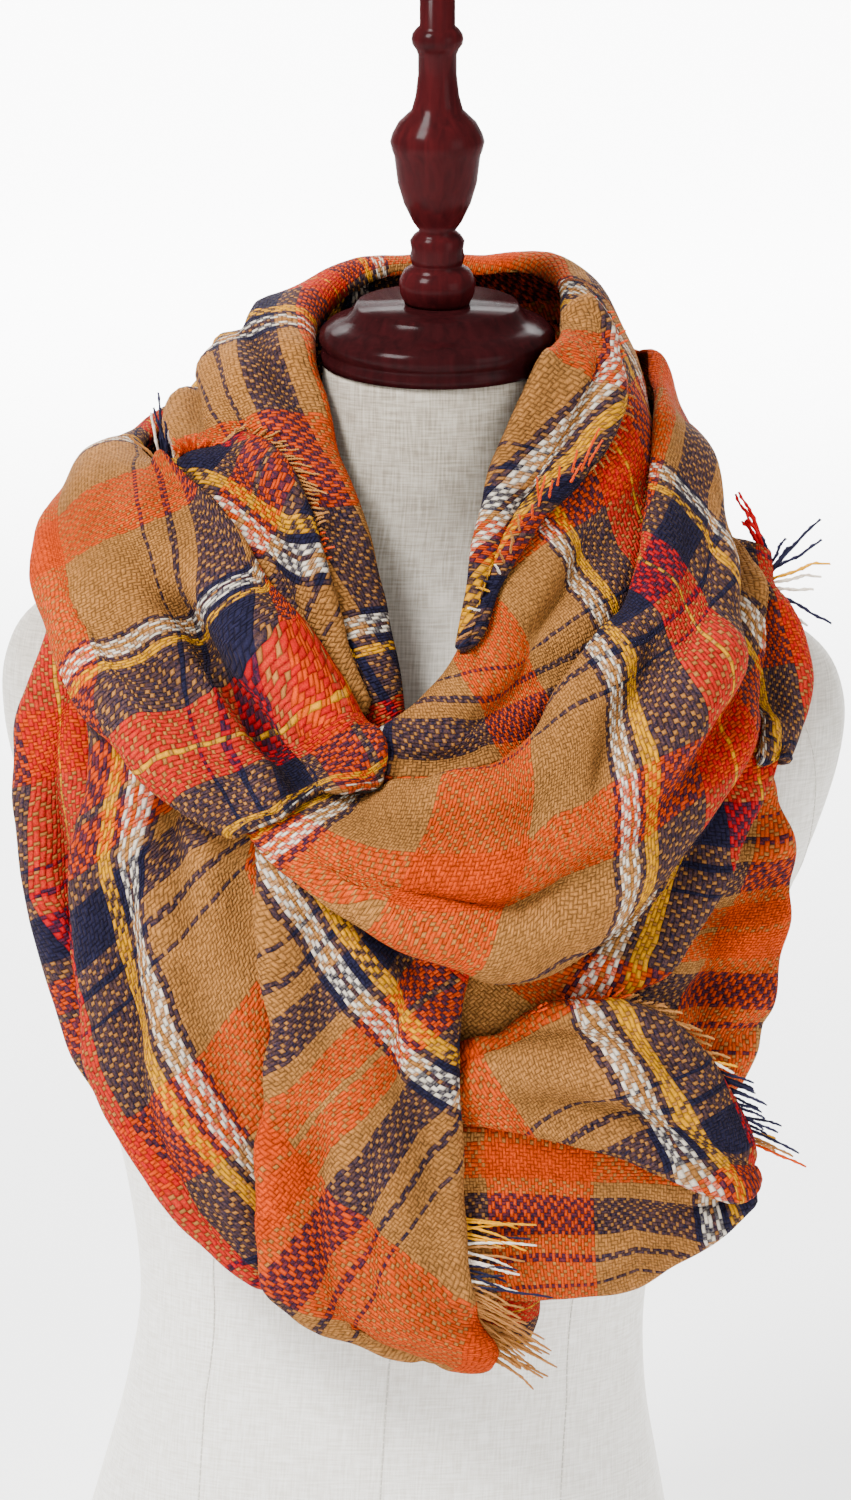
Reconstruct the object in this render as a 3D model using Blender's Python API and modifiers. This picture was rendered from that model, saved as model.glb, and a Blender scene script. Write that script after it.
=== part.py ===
"""A blanket scarf wound round a table-top dress form with a turned wooden neck cap and finial.

The scarf is one square of loosely woven plaid cloth. It is modelled as the stretches that show, each a wall of
cloth lofted between its two edges. The tables give those edges as they are seen from the front, in millimetres:
across from the left side of the view, down from its top, and forward of the plane through the neck's axis.
"""

import math
import random
from collections import namedtuple

import bmesh
import bpy
from mathutils import Vector
from mathutils.bvhtree import BVHTree

MM = 0.001
OBJECT_NAME = "blanket_scarf_on_dress_form"

# The view that the tables are measured in: its size at the neck's plane, its distance and its angle.
VIEW_WIDTH = 425.5
VIEW_HEIGHT = 750.0
VIEW_DISTANCE = 2600.0
VIEW_ELEVATION = math.radians(10)
VIEW_CENTRE_HEIGHT = 464.0
AXIS_ACROSS = 218.5

CLOTH = 1.8
SEAM_GAP = 0.3
JOIN_GAP = 1.3
JOIN_ROWS = 5
LAYER_GAP = 0.5
REST_GAP = 0.3
REST_REACH = 2.5
FULLNESS = 2.2

# Cloth is lifted away from the heart of the form wherever something lies beneath it.
HEART_HEIGHT = 120.0
HEART_RISE = 0.45
LIFT_REACH = 70.0
LIFT_SPREAD = 6.0
LIFT_KEPT = 0.8
AROUND_LESS = 1.2
LIFT_ROUNDS = 8
CLEAR_ROUNDS = 3
CLEAR_SPREAD = 3.0

STRIP_GAP = CLOTH / 2 + SEAM_GAP
STRIP_WIDTH = 2.4
STRIP_THICK = 1.4
LOCK_STEPS = 3
LOCK_SPREAD = 2.0

# The neck cap and finial are turned pieces on one axis that leans forward with the neck.
LEAN = math.radians(9)
CAP_HEIGHT = 661.0
CAP_FORWARD = 13.0
TURN_STEPS = 20

Section = namedtuple("Section", "a_across a_down a_front b_across b_down b_front crown")
Fold = namedtuple("Fold", "start end place_start place_end width depth")
Stretch = namedtuple("Stretch", "sections folds lip_a lip_b along across follows", defaults=(None,))
Slice = namedtuple("Slice", "height shift forward half_width half_depth squareness lean slope")
Fringe = namedtuple("Fringe", "stretch edge start end locks length droop rise seed")


def S(*values):
    return Section(*values)


# Innermost first: each stretch lies over those above it in this table.
STRETCHES = {
    "left_back_drape": Stretch([
        S(80, 292, 50, 40, 290, 20, 7),
        S(80, 320, 62, 36, 318, 34, 7),
        S(80, 355, 70, 28, 350, 42, 8),
        S(80, 390, 75, 22, 385, 46, 8),
        S(78, 425, 78, 20, 420, 50, 8),
        S(76, 460, 80, 23, 455, 52, 8),
        S(76, 500, 82, 32, 492, 58, 8),
        S(78, 535, 87, 46, 527, 68, 8),
        S(84, 566, 94, 60, 556, 80, 7),
    ], [Fold(0.1, 0.9, 0.6, 0.55, 0.1, -6)], 15, 25, 16, 7),
    "right_drape": Stretch([
        S(360, 356, 72, 326, 358, 86, 7),
        S(370, 378, 71, 326, 384, 90, 8),
        S(375, 405, 67, 326, 415, 94, 10),
        S(378, 435, 62, 318, 450, 98, 11),
        S(376, 465, 57, 308, 480, 100, 12),
        S(373, 495, 58, 302, 510, 101, 12),
        S(367, 522, 64, 308, 540, 102, 12),
        S(359, 547, 72, 318, 568, 100, 10),
    ], [Fold(0.15, 0.9, 0.35, 0.5, 0.1, -6)], 25, 15, 16, 8),
    "left_drape": Stretch([
        S(147, 350, 96, 70, 330, 60, 12),
        S(147, 367, 100, 66, 352, 68, 12),
        S(147, 386, 103, 64, 380, 77, 12),
        S(148, 410, 105, 62, 408, 82, 13),
        S(148, 435, 107, 58, 432, 84, 14),
        S(148, 470, 109, 56, 475, 86, 15),
        S(148, 510, 111, 56, 512, 90, 16),
        S(148, 550, 114, 64, 552, 96, 16),
        S(146, 590, 116, 84, 588, 103, 14),
        S(145, 620, 116, 109, 620, 110, 10),
        S(146, 643, 116, 137, 641, 114, 5),
    ], [Fold(0.0, 0.45, 0.5, 0.55, 0.07, -9), Fold(0.3, 0.95, 0.72, 0.6, 0.08, -6)], 15, 25, 20, 9),
    "center_under": Stretch([
        S(258, 600, 113, 205, 600, 118, 4),
        S(266, 626, 114, 210, 630, 122, 5),
        S(268, 652, 114, 220, 655, 122, 5),
        S(264, 672, 110, 236, 674, 115, 3),
    ], [], 0, 0, 6, 4),
    "corner_under": Stretch([
        S(215, 560, 110, 218, 636, 106, 12),
        S(240, 556, 114, 243, 639, 108, 13),
        S(268, 556, 118, 270, 641, 110, 14),
        S(297, 562, 120, 298, 642, 112, 14),
        S(325, 574, 120, 325, 630, 114, 12),
        S(350, 588, 118, 353, 615, 114, 8),
        S(374, 592, 114, 376, 596, 113, 3),
    ], [Fold(0.0, 1.0, 0.45, 0.4, 0.12, -4)], 10, 25, 14, 7),
    "tail_upper": Stretch([
        S(338, 370, 84, 361, 380, 66, 4),
        S(344, 380, 88, 366, 392, 70, 8),
        S(338, 402, 97, 359, 420, 84, 8),
        S(320, 426, 104, 347, 452, 96, 8),
        S(295, 446, 110, 330, 484, 106, 8),
        S(272, 458, 112, 304, 502, 112, 8),
        S(248, 466, 112, 270, 515, 114, 8),
        S(222, 470, 112, 228, 525, 114, 8),
    ], [Fold(0.1, 0.95, 0.4, 0.5, 0.14, -4)], 0, 5, 14, 7),
    "corner_flap": Stretch([
        S(218, 531, 122, 220, 557, 120, 6),
        S(246, 518, 130, 250, 560, 128, 10),
        S(278, 504, 136, 285, 567, 134, 12),
        S(310, 501, 136, 320, 580, 134, 12),
        S(335, 512, 132, 346, 594, 130, 10),
        S(353, 535, 124, 364, 598, 124, 7),
        S(372, 570, 116, 378, 588, 116, 3),
    ], [Fold(0.0, 0.6, 0.3, 0.2, 0.12, -5), Fold(0.2, 1.0, 0.62, 0.7, 0.12, -4)], 5, 10, 16, 8),
    "center_drop": Stretch([
        S(232, 440, 118, 142, 420, 112, 14),
        S(231, 475, 124, 143, 458, 116, 14),
        S(226, 515, 130, 147, 500, 118, 14),
        S(226, 555, 132, 147, 545, 120, 14),
        S(228, 595, 132, 143, 590, 120, 14),
        S(230, 628, 130, 144, 628, 118, 14),
        S(236, 656, 126, 154, 648, 114, 12),
        S(247, 672, 120, 178, 661, 112, 8),
        S(245, 681, 116, 212, 673, 110, 4),
    ], [Fold(0.0, 0.75, 0.3, 0.45, 0.08, -5), Fold(0.25, 1.0, 0.75, 0.6, 0.1, -5)], 10, 20, 20, 9),
    "collar": Stretch([
        S(202, 364, 98, 190, 370, 94, 3),
        S(197, 335, 91, 172, 345, 83, 8),
        S(190, 305, 82, 150, 318, 70, 12),
        S(182, 275, 72, 125, 290, 55, 15),
        S(174, 250, 62, 107, 262, 40, 17),
        S(165, 226, 47, 97, 242, 22, 18),
        S(159, 199, 24, 92, 230, 0, 19),
        S(158, 174, -6, 95, 222, -30, 21),
        S(170, 153, -34, 116, 218, -64, 21),
        S(191, 140, -50, 158, 220, -86, 22),
        S(218, 136, -56, 218, 222, -94, 22),
        S(245, 138, -50, 270, 218, -86, 22),
        S(266, 147, -34, 298, 210, -62, 20),
        S(276, 165, -10, 306, 206, -34, 16),
    ], [Fold(0.05, 0.5, 0.45, 0.5, 0.09, -6), Fold(0.3, 0.95, 0.7, 0.6, 0.09, -6)], 10, 10, 30, 9),
    "right_inner_band": Stretch([
        S(276, 165, -10, 306, 206, -34, 16),
        S(277, 190, 12, 312, 224, -8, 16),
        S(274, 224, 36, 322, 252, 16, 16),
        S(265, 252, 54, 324, 278, 42, 17),
        S(254, 280, 71, 314, 303, 64, 18),
        S(244, 307, 86, 300, 330, 84, 18),
        S(233, 331, 98, 283, 358, 100, 18),
        S(219, 351, 106, 262, 384, 110, 16),
        S(203, 363, 110, 236, 400, 114, 14),
        S(184, 372, 112, 197, 407, 116, 10),
    ], [Fold(0.3, 0.95, 0.45, 0.5, 0.1, -6)], 10, 10, 20, 9, "collar"),
    "left_inner_fall": Stretch([
        S(126, 228, 48, 82, 236, 30, 8),
        S(146, 248, 62, 96, 264, 46, 10),
        S(159, 272, 72, 116, 291, 60, 10),
        S(166, 300, 80, 138, 318, 74, 10),
        S(174, 330, 90, 160, 346, 88, 8),
        S(185, 358, 99, 180, 368, 97, 4),
    ], [Fold(0.0, 1.0, 0.35, 0.4, 0.1, -5), Fold(0.0, 0.9, 0.7, 0.7, 0.1, -5)], 5, 5, 14, 7),
    "right_inner_fall": Stretch([
        S(276, 182, 12, 286, 172, 0, 4),
        S(275, 192, 24, 300, 184, 12, 6),
        S(270, 204, 36, 306, 200, 28, 6),
        S(262, 217, 47, 304, 222, 42, 6),
        S(253, 231, 58, 295, 243, 56, 6),
        S(245, 247, 68, 282, 257, 68, 6),
        S(239, 267, 79, 266, 275, 80, 6),
        S(236, 290, 90, 252, 293, 91, 5),
        S(233, 314, 99, 241, 317, 100, 4),
        S(230, 333, 105, 234, 335, 106, 3),
    ], [Fold(0.1, 0.9, 0.5, 0.5, 0.15, -4)], 5, 0, 16, 6),
    "right_outer_fold": Stretch([
        S(384, 275, 4, 353, 272, -10, 4),
        S(382, 297, 18, 354, 296, 14, 8),
        S(391, 313, 30, 358, 315, 34, 12),
        S(395, 332, 38, 362, 334, 48, 12),
        S(393, 352, 46, 364, 356, 60, 12),
        S(383, 372, 56, 361, 378, 72, 12),
        S(371, 390, 66, 355, 398, 82, 10),
    ], [Fold(0.2, 1.0, 0.5, 0.5, 0.14, -4)], 20, 10, 14, 7),
    "front_band": Stretch([
        S(162, 394, 116, 128, 416, 116, 8),
        S(180, 404, 125, 156, 440, 125, 15),
        S(202, 405, 131, 184, 462, 129, 20),
        S(228, 401, 133, 216, 479, 131, 24),
        S(254, 394, 131, 248, 488, 131, 26),
        S(271, 374, 127, 280, 478, 127, 26),
        S(283, 351, 118, 308, 453, 118, 26),
        S(299, 328, 107, 334, 420, 106, 25),
        S(317, 304, 90, 351, 386, 86, 24),
        S(323, 277, 66, 355, 348, 60, 22),
        S(321, 252, 36, 352, 308, 30, 18),
        S(316, 234, 2, 345, 278, -6, 16),
        S(307, 224, -36, 334, 274, -46, 15),
    ], [Fold(0.08, 0.5, 0.62, 0.5, 0.08, -8), Fold(0.35, 0.9, 0.3, 0.35, 0.1, -6),
        Fold(0.5, 1.0, 0.65, 0.6, 0.09, -6)], 25, 25, 28, 11),
    "back_wrap": Stretch([
        S(307, 224, -36, 334, 274, -46, 15),
        S(288, 214, -66, 312, 290, -74, 17),
        S(258, 206, -90, 272, 304, -90, 18),
        S(218, 200, -100, 218, 312, -96, 18),
        S(174, 204, -90, 160, 306, -90, 18),
        S(128, 220, -70, 95, 286, -74, 18),
        S(92, 236, -42, 56, 262, -48, 18),
    ], [Fold(0.0, 1.0, 0.35, 0.4, 0.09, -7), Fold(0.1, 0.9, 0.7, 0.62, 0.08, -6)], 20, 20, 18, 9, "front_band"),
    "left_fold": Stretch([
        S(92, 236, -42, 56, 262, -48, 18),
        S(79, 244, -20, 42, 258, -24, 19),
        S(86, 255, 14, 32, 264, 12, 20),
        S(104, 272, 44, 27, 280, 34, 22),
        S(124, 292, 66, 28, 302, 52, 22),
        S(139, 312, 80, 36, 326, 66, 22),
        S(155, 332, 92, 48, 350, 80, 22),
        S(171, 352, 102, 66, 373, 92, 22),
        S(182, 371, 112, 86, 394, 104, 20),
        S(189, 385, 119, 108, 411, 115, 16),
        S(187, 400, 124, 132, 426, 122, 11),
    ], [Fold(0.35, 1.0, 0.42, 0.4, 0.08, -16), Fold(0.1, 0.8, 0.75, 0.7, 0.09, -6)], 25, 25, 24, 11, "back_wrap"),
}

# Frayed edges: locks of yarn stand off one edge of a stretch, between two shares of its length.
FRINGES = {
    "fringe_left_tuft": Fringe("left_inner_fall", "start", 0.1, 0.9, 7, 14, 0.2, 0.3, 2),
    "fringe_left_collar": Fringe("left_inner_fall", "a", 0.03, 0.6, 11, 13, 0.3, 0.25, 3),
    "fringe_right_collar": Fringe("right_inner_fall", "b", 0.15, 0.9, 15, 10, 0.3, 0.3, 5),
    "fringe_right_corner": Fringe("right_outer_fold", "a", 0.0, 0.15, 5, 32, -0.2, 0.1, 11),
    "fringe_flap": Fringe("corner_flap", "a", 0.48, 0.97, 13, 16, 0.4, 0.3, 13),
    "fringe_center": Fringe("center_drop", "a", 0.66, 0.95, 13, 26, 0.2, 0.3, 17),
}

# Slices of the dress form, from its flat underside up to the leaning top of its neck.
FORM_SLICES = [
    Slice(0, -34, 0, 165, 112, 2.2, 0, 0),
    Slice(90, -29, 0, 143, 100, 2.2, 0, 0),
    Slice(140, -26, 0, 132, 92, 2.2, 0, 0),
    Slice(190, -22, 2, 128.5, 86, 2.2, 0, 0),
    Slice(250, -19, 5, 138, 90, 2.2, 0, 0),
    Slice(310, -16, 8, 156, 98, 2.2, 0, 0),
    Slice(360, -13, 9, 173, 103, 2.2, 0, 0.5),
    Slice(400, -10, 8, 187, 103, 2.2, 0, 1),
    Slice(440, -8, 4, 200, 98, 2.3, 0, 2),
    Slice(475, -7, 0, 209, 90, 2.3, 0, 2.6),
    Slice(503, -6, -4, 209, 80, 2.2, 0, 2.8),
    Slice(527, -5, -6, 196, 70, 2.0, 0, 2.8),
    Slice(548, -4, -6, 160, 63, 1.8, 0, 2.4),
    Slice(568, -3, -4, 118, 58, 1.8, 1, 1.6),
    Slice(588, -1, -1, 84, 56, 1.9, 3, 0.8),
    Slice(608, 0, 3, 66, 56, 2.0, 5, 0),
    Slice(634, 0, 8, 58, 56, 2.0, 8, 0),
    Slice(660.6, 0, 13, 56, 55, 2.0, 9, 0),
]
FORM_ROUND = 32

# Radius and height above the cap's underside, from the top of each turned piece down.
CAP_PROFILE = [
    (0, 28.4), (39.5, 28.4), (41, 26.3), (44, 22.4), (49.5, 19.7), (54.5, 17.5), (57.6, 14.1), (58, 10.6),
    (56.6, 7.8), (55.8, 6), (57.2, 4), (57.2, 0), (0, 0),
]
FINIAL_PROFILE = [
    (0, 180), (7, 180), (8.6, 178.8), (8.6, 165.5), (10.4, 163.9), (12.2, 161.4), (12.6, 159),
    (12.2, 156.6), (10.4, 154.1), (9.4, 151.4), (9.4, 141.8), (10.7, 131), (12.6, 124.3), (19, 118.1),
    (22, 112.5), (23, 108.9), (22, 104.7), (21, 102.2), (19.4, 88.9), (16.4, 78.6), (12, 69.4), (8.8, 64.9),
    (11.6, 62.6), (13.4, 59.8), (12.7, 55.6), (13.4, 52), (12.6, 48.8), (12, 47.5), (16, 45.1),
    (18.4, 40.9), (18.8, 38.2), (18.2, 33.9), (16.6, 30.4), (16, 28.8), (0, 28.8),
]


def clear_scene():
    for thing in list(bpy.data.objects):
        bpy.data.objects.remove(thing, do_unlink=True)


def seen(across, down, front):
    """The point that the front view shows at (across, down), as far forward of the neck's plane as given."""
    up = Vector((0, math.sin(VIEW_ELEVATION), math.cos(VIEW_ELEVATION)))
    towards = Vector((0, -math.cos(VIEW_ELEVATION), math.sin(VIEW_ELEVATION)))
    centre = Vector((VIEW_WIDTH / 2 - AXIS_ACROSS, 0, VIEW_CENTRE_HEIGHT))
    eye = centre + towards * VIEW_DISTANCE
    on_plane = centre + Vector((across - VIEW_WIDTH / 2, 0, 0)) + up * (VIEW_HEIGHT / 2 - down)
    ray = on_plane - eye
    return eye + ray * ((-front - eye.y) / ray.y)


def through(values, t):
    """A smooth curve through the values, read at station t (Catmull-Rom)."""
    last = len(values) - 1
    i = min(int(t), last - 1)
    u = t - i
    p1, p2 = values[i], values[i + 1]
    p0 = values[i - 1] if i > 0 else p1 * 2 - p2
    p3 = values[i + 2] if i + 2 <= last else p2 * 2 - p1
    return 0.5 * (p1 * 2 + (p2 - p0) * u + (p0 * 2 - p1 * 5 + p2 * 4 - p3) * u * u
                  + (p1 * 3 - p0 - p2 * 3 + p3) * u * u * u)


def power(x, e):
    return math.copysign(abs(x) ** e, x)


def profile(width, crown, lip_a, lip_b, columns):
    """(share of the width, height) of points evenly spaced along an arch whose ends turn under by the lips."""
    count = 96
    dense = []
    for k in range(count + 1):
        angle = math.radians(-lip_a + (180 + lip_a + lip_b) * k / count)
        share = (1 - power(math.cos(angle), 2 / FULLNESS)) / 2
        dense.append((share, power(math.sin(angle), 2 / FULLNESS) * crown))
    lengths = [0.0]
    for (s0, h0), (s1, h1) in zip(dense, dense[1:]):
        lengths.append(lengths[-1] + math.hypot((s1 - s0) * width, h1 - h0))
    points = []
    k = 0
    for column in range(columns + 1):
        want = lengths[-1] * column / columns
        while k < count - 1 and lengths[k + 1] < want:
            k += 1
        share = (want - lengths[k]) / max(lengths[k + 1] - lengths[k], 1e-9)
        points.append(tuple(a + (b - a) * share for a, b in zip(dense[k], dense[k + 1])))
    return points


def fold_height(folds, station, place):
    """How far the folds lift (or, below zero, sink) the cloth at a place across it."""
    height = 0.0
    for fold in folds:
        if not fold.start <= station <= fold.end:
            continue
        along = (station - fold.start) / (fold.end - fold.start)
        middle = fold.place_start + (fold.place_end - fold.place_start) * along
        fade_in = 1.0 if fold.start <= 0 else min(1.0, 4 * along)
        fade_out = 1.0 if fold.end >= 1 else min(1.0, 4 * (1 - along))
        off = (place - middle) / fold.width
        height += fold.depth * math.exp(-off * off) * fade_in * fade_out
    return height


def raw_rows(stretch, along, across):
    """The stretch's points before it is laid over the others, a list of rows from its first section to its last."""
    sections = stretch.sections
    edge_a = [seen(s.a_across, s.a_down, s.a_front) for s in sections]
    edge_b = [seen(s.b_across, s.b_down, s.b_front) for s in sections]
    crowns = [s.crown for s in sections]
    last = len(sections) - 1
    heart = Vector((0, 0, VIEW_CENTRE_HEIGHT))
    frames = []
    outward_sum = 0.0
    for row in range(along + 1):
        t = last * row / along
        a, b = through(edge_a, t), through(edge_b, t)
        before, after = max(t - 0.05, 0), min(t + 0.05, last)
        tangent = through(edge_a, after) + through(edge_b, after) - through(edge_a, before) - through(edge_b, before)
        normal = (b - a).cross(tangent).normalized()
        outward_sum += normal.dot((a + b) / 2 - heart)
        frames.append((a, b, normal, through(crowns, t)))
    side = math.copysign(1, outward_sum)
    rows = []
    for row, (a, b, normal, crown) in enumerate(frames):
        line = []
        for column, (share, height) in enumerate(profile((b - a).length, crown, stretch.lip_a, stretch.lip_b, across)):
            lift = height + fold_height(stretch.folds, row / along, column / across)
            line.append(a + (b - a) * share + normal * (side * lift))
        rows.append(line)
    return rows


def outward(p):
    heart = Vector((0, 0, HEART_HEIGHT + HEART_RISE * p.z))
    return (p - heart).normalized()


def lift_needed(p, beneath, spread):
    """How far p has to move outward to clear the walls beneath it and round it, each given with its thickness."""
    way = outward(p)
    side = way.orthogonal().normalized() * spread
    other = way.cross(side)
    offsets = [side * math.cos(k * math.pi / 3) + other * math.sin(k * math.pi / 3) for k in range(6)]
    need = 0.0
    for tree, wall in beneath:
        spares = [(Vector(), wall + LAYER_GAP)] + [(offset, wall + LAYER_GAP - AROUND_LESS) for offset in offsets]
        for offset, spare in spares:
            hit = tree.ray_cast(p + way * LIFT_REACH + offset, -way, LIFT_REACH + spare)
            if hit[0] is not None:
                need = max(need, LIFT_REACH - hit[3] + spare)
    return need


def soften(lifts):
    """Spreads each lift over its neighbours, a little less at each step away."""
    along, across = len(lifts), len(lifts[0])
    for _ in range(LIFT_ROUNDS):
        for i in range(along):
            for j in range(across):
                near = [lifts[i + di][j + dj] for di, dj in ((-1, 0), (1, 0), (0, -1), (0, 1))
                        if 0 <= i + di < along and 0 <= j + dj < across]
                lifts[i][j] = max(lifts[i][j], LIFT_KEPT * max(near))


def lifted(rows, lifts):
    return [[p + outward(p) * lift for p, lift in zip(line, raised)] for line, raised in zip(rows, lifts)]


def lay_over(rows, beneath):
    """Lifts the rows clear of the walls beneath them, first at their points and then between them too."""
    lifts = [[lift_needed(p, beneath, LIFT_SPREAD) for p in line] for line in rows]
    soften(lifts)
    for _ in range(CLEAR_ROUNDS):
        laid = lifted(rows, lifts)
        for i in range(len(rows) - 1):
            for j in range(len(rows[0]) - 1):
                a, b, c, d = laid[i][j], laid[i][j + 1], laid[i + 1][j + 1], laid[i + 1][j]
                between = ((a + b + c + d) / 4, (a + b) / 2, (b + c) / 2, (c + d) / 2, (d + a) / 2)
                need = max(lift_needed(p, beneath, CLEAR_SPREAD) for p in between)
                if need > 0.05:
                    for k, m in ((i, j), (i, j + 1), (i + 1, j + 1), (i + 1, j)):
                        lifts[k][m] += need
        soften(lifts)
    return lifted(rows, lifts)


def settle(rows, beneath):
    """Brings the cloth down onto each wall that it all but touches, at the point nearest to that wall."""
    rows = [list(line) for line in rows]
    for tree, wall in beneath:
        nearest = []
        for i in range(2, len(rows) - 2):
            for j, p in enumerate(rows[i]):
                found = tree.find_nearest(p)
                nearest.append((found[3] - wall - REST_GAP, i, j, (found[0] - p).normalized()))
        gap, i, j, way = min(nearest, key=lambda entry: entry[0])
        if 0 < gap < REST_REACH:
            rows[i][j] = rows[i][j] + way * gap
            for k in (i - 1, i + 1):
                rows[k][j] = rows[k][j] + way * gap / 2
    return rows


def bend_end(rows, goal, first):
    """Bends the first (or last) few rows so that the stretch starts (or ends) on the goal's points."""
    at = 0 if first else len(rows) - 1
    moves = [there - here for here, there in zip(rows[at], goal)]
    bent = [list(line) for line in rows]
    for i in range(JOIN_ROWS):
        k = i if first else at - i
        bent[k] = [p + move * (1 - i / JOIN_ROWS) for p, move in zip(rows[k], moves)]
    return bent


def resampled(line, count):
    """As many points as asked for, spread evenly along a line of points."""
    return [through(line, (len(line) - 1) * k / (count - 1)) for k in range(count)]


def tree_of(rows):
    across = len(rows[0])
    faces = []
    for i in range(len(rows) - 1):
        for j in range(across - 1):
            k = i * across + j
            faces.append((k, k + 1, k + across + 1, k + across))
    return BVHTree.FromPolygons([p for line in rows for p in line], faces)


def form_rows():
    rows = []
    for s in FORM_SLICES:
        line = []
        for k in range(FORM_ROUND + 1):
            angle = 2 * math.pi * k / FORM_ROUND
            x = s.half_width * power(math.cos(angle), 2 / s.squareness)
            y = s.half_depth * power(math.sin(angle), 2 / s.squareness)
            z = s.height + y * math.tan(math.radians(s.lean)) - x * math.tan(math.radians(s.slope))
            line.append(Vector((s.shift + x, y - s.forward, z)))
        rows.append(line)
    return rows


def cap_rows():
    """The neck cap's rings, where the modifier that turns it puts them."""
    rows = []
    for radius, height in CAP_PROFILE:
        line = []
        for k in range(TURN_STEPS + 1):
            angle = 2 * math.pi * k / TURN_STEPS
            x, y = radius * math.cos(angle), radius * math.sin(angle)
            line.append(Vector((x, y * math.cos(LEAN) - height * math.sin(LEAN) - CAP_FORWARD,
                                y * math.sin(LEAN) + height * math.cos(LEAN) + CAP_HEIGHT)))
        rows.append(line)
    return rows


def laid_stretches():
    """Every stretch's rows, laid one over another on the form, and the walls to clear, innermost first."""
    beneath = {"form": (tree_of(form_rows()), CLOTH / 2), "cap": (tree_of(cap_rows()), CLOTH / 2)}
    laid = {}
    for name, stretch in STRETCHES.items():
        rows = raw_rows(stretch, stretch.along, stretch.across)
        before = laid.get(stretch.follows)
        if before:
            rows = bend_end(rows, resampled(before[-1], len(rows[0])), True)
        under = [held for other, held in beneath.items() if other != stretch.follows]
        rows = settle(lay_over(rows, under), under)
        if before:
            laid[stretch.follows] = bend_end(before, resampled(rows[0], len(before[0])), False)
            beneath[stretch.follows] = (tree_of(laid[stretch.follows]), CLOTH)
            rows[0] = [p + (following - p).normalized() * JOIN_GAP for p, following in zip(rows[0], rows[1])]
        laid[name] = rows
        beneath[name] = (tree_of(rows), CLOTH)
    return laid, list(beneath.values())


def material(name, colour, roughness):
    made = bpy.data.materials.new(name)
    made.use_nodes = True
    shader = made.node_tree.nodes["Principled BSDF"]
    shader.inputs["Base Color"].default_value = (*colour, 1)
    shader.inputs["Roughness"].default_value = roughness
    return made


def mesh_object(name, bm, made_of):
    mesh = bpy.data.meshes.new(name)
    bm.to_mesh(mesh)
    bm.free()
    thing = bpy.data.objects.new(name, mesh)
    thing.data.materials.append(made_of)
    bpy.data.collections[OBJECT_NAME].objects.link(thing)
    return thing


def sheet_of(rows):
    """An open sheet of quads through rows of points."""
    bm = bmesh.new()
    grid = [[bm.verts.new(p * MM) for p in line] for line in rows]
    for line, following in zip(grid, grid[1:]):
        for k in range(len(line) - 1):
            bm.faces.new((line[k], line[k + 1], following[k + 1], following[k]))
    return bm


def cloth_object(name, rows, made_of):
    thing = mesh_object(name, sheet_of(rows), made_of)
    wall = thing.modifiers.new("Wall", "SOLIDIFY")
    wall.thickness = CLOTH * MM
    wall.offset = 0
    return thing


def edge_lines(rows, edge):
    """The points along one edge of a stretch, and the points of its middle that they stand out from."""
    if edge == "start":
        return rows[0], rows[3]
    middle = len(rows[0]) // 2
    return [line[0 if edge == "a" else -1] for line in rows], [line[middle] for line in rows]


def fringe_object(name, fringe, laid, walls, made_of):
    """Locks of yarn drawn out of a narrow strip that lies a seam's gap beyond the cloth's edge."""
    edge, inner = edge_lines(laid[fringe.stretch], fringe.edge)
    chance = random.Random(fringe.seed)
    segments = 2 * fringe.locks - 1
    rings = []
    for i in range(segments + 1):
        t = (fringe.start + (fringe.end - fringe.start) * i / segments) * (len(edge) - 1)
        on_edge = through(edge, t)
        way = (on_edge - through(inner, t)).normalized()
        along = (through(edge, t + 0.1) - on_edge).normalized()
        normal = way.cross(along).normalized()
        if normal.dot(outward(on_edge)) < 0:
            normal = -normal
        near, far = on_edge + way * STRIP_GAP, on_edge + way * (STRIP_GAP + STRIP_WIDTH)
        thick = normal * STRIP_THICK / 2
        rings.append(([near - thick, near + thick, far + thick, far - thick], way, normal))
    bm = bmesh.new()
    strip = [[bm.verts.new(p * MM) for p in corners] for corners, _, _ in rings]
    bm.faces.new(strip[0])
    bm.faces.new(strip[-1])
    for i in range(segments):
        this, following = strip[i], strip[i + 1]
        for k, j in ((0, 1), (1, 2), (3, 0)):
            bm.faces.new((this[k], this[j], following[j], following[k]))
        if i % 2:
            bm.faces.new((this[2], this[3], following[3], following[2]))
            continue
        corners = [rings[i][0][2], rings[i][0][3], rings[i + 1][0][3], rings[i + 1][0][2]]
        way, normal = (rings[i][1] + rings[i + 1][1]).normalized(), rings[i][2]
        loop = [this[2], this[3], following[3], following[2]]
        middle = sum(corners, Vector()) / 4
        reach = fringe.length * chance.uniform(0.7, 1.1) / LOCK_STEPS
        turn = Vector((chance.uniform(-0.3, 0.3), chance.uniform(-0.2, 0.2), chance.uniform(-0.3, 0.3)))
        at = middle.copy()
        for step in range(1, LOCK_STEPS + 1):
            bend = step / LOCK_STEPS
            at = at + (way + normal * fringe.rise * (1 - bend) + turn - Vector((0, 0, fringe.droop * bend))) * reach
            at = at + outward(at) * lift_needed(at, walls, LOCK_SPREAD)
            slim = 1 - 0.45 * bend
            placed = [bm.verts.new((at + (corner - middle) * slim) * MM) for corner in corners]
            for k in range(4):
                bm.faces.new((loop[k], loop[(k + 1) % 4], placed[(k + 1) % 4], placed[k]))
            loop = placed
        bm.faces.new(loop)
    bmesh.ops.recalc_face_normals(bm, faces=bm.faces)
    return mesh_object(name, bm, made_of)


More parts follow.
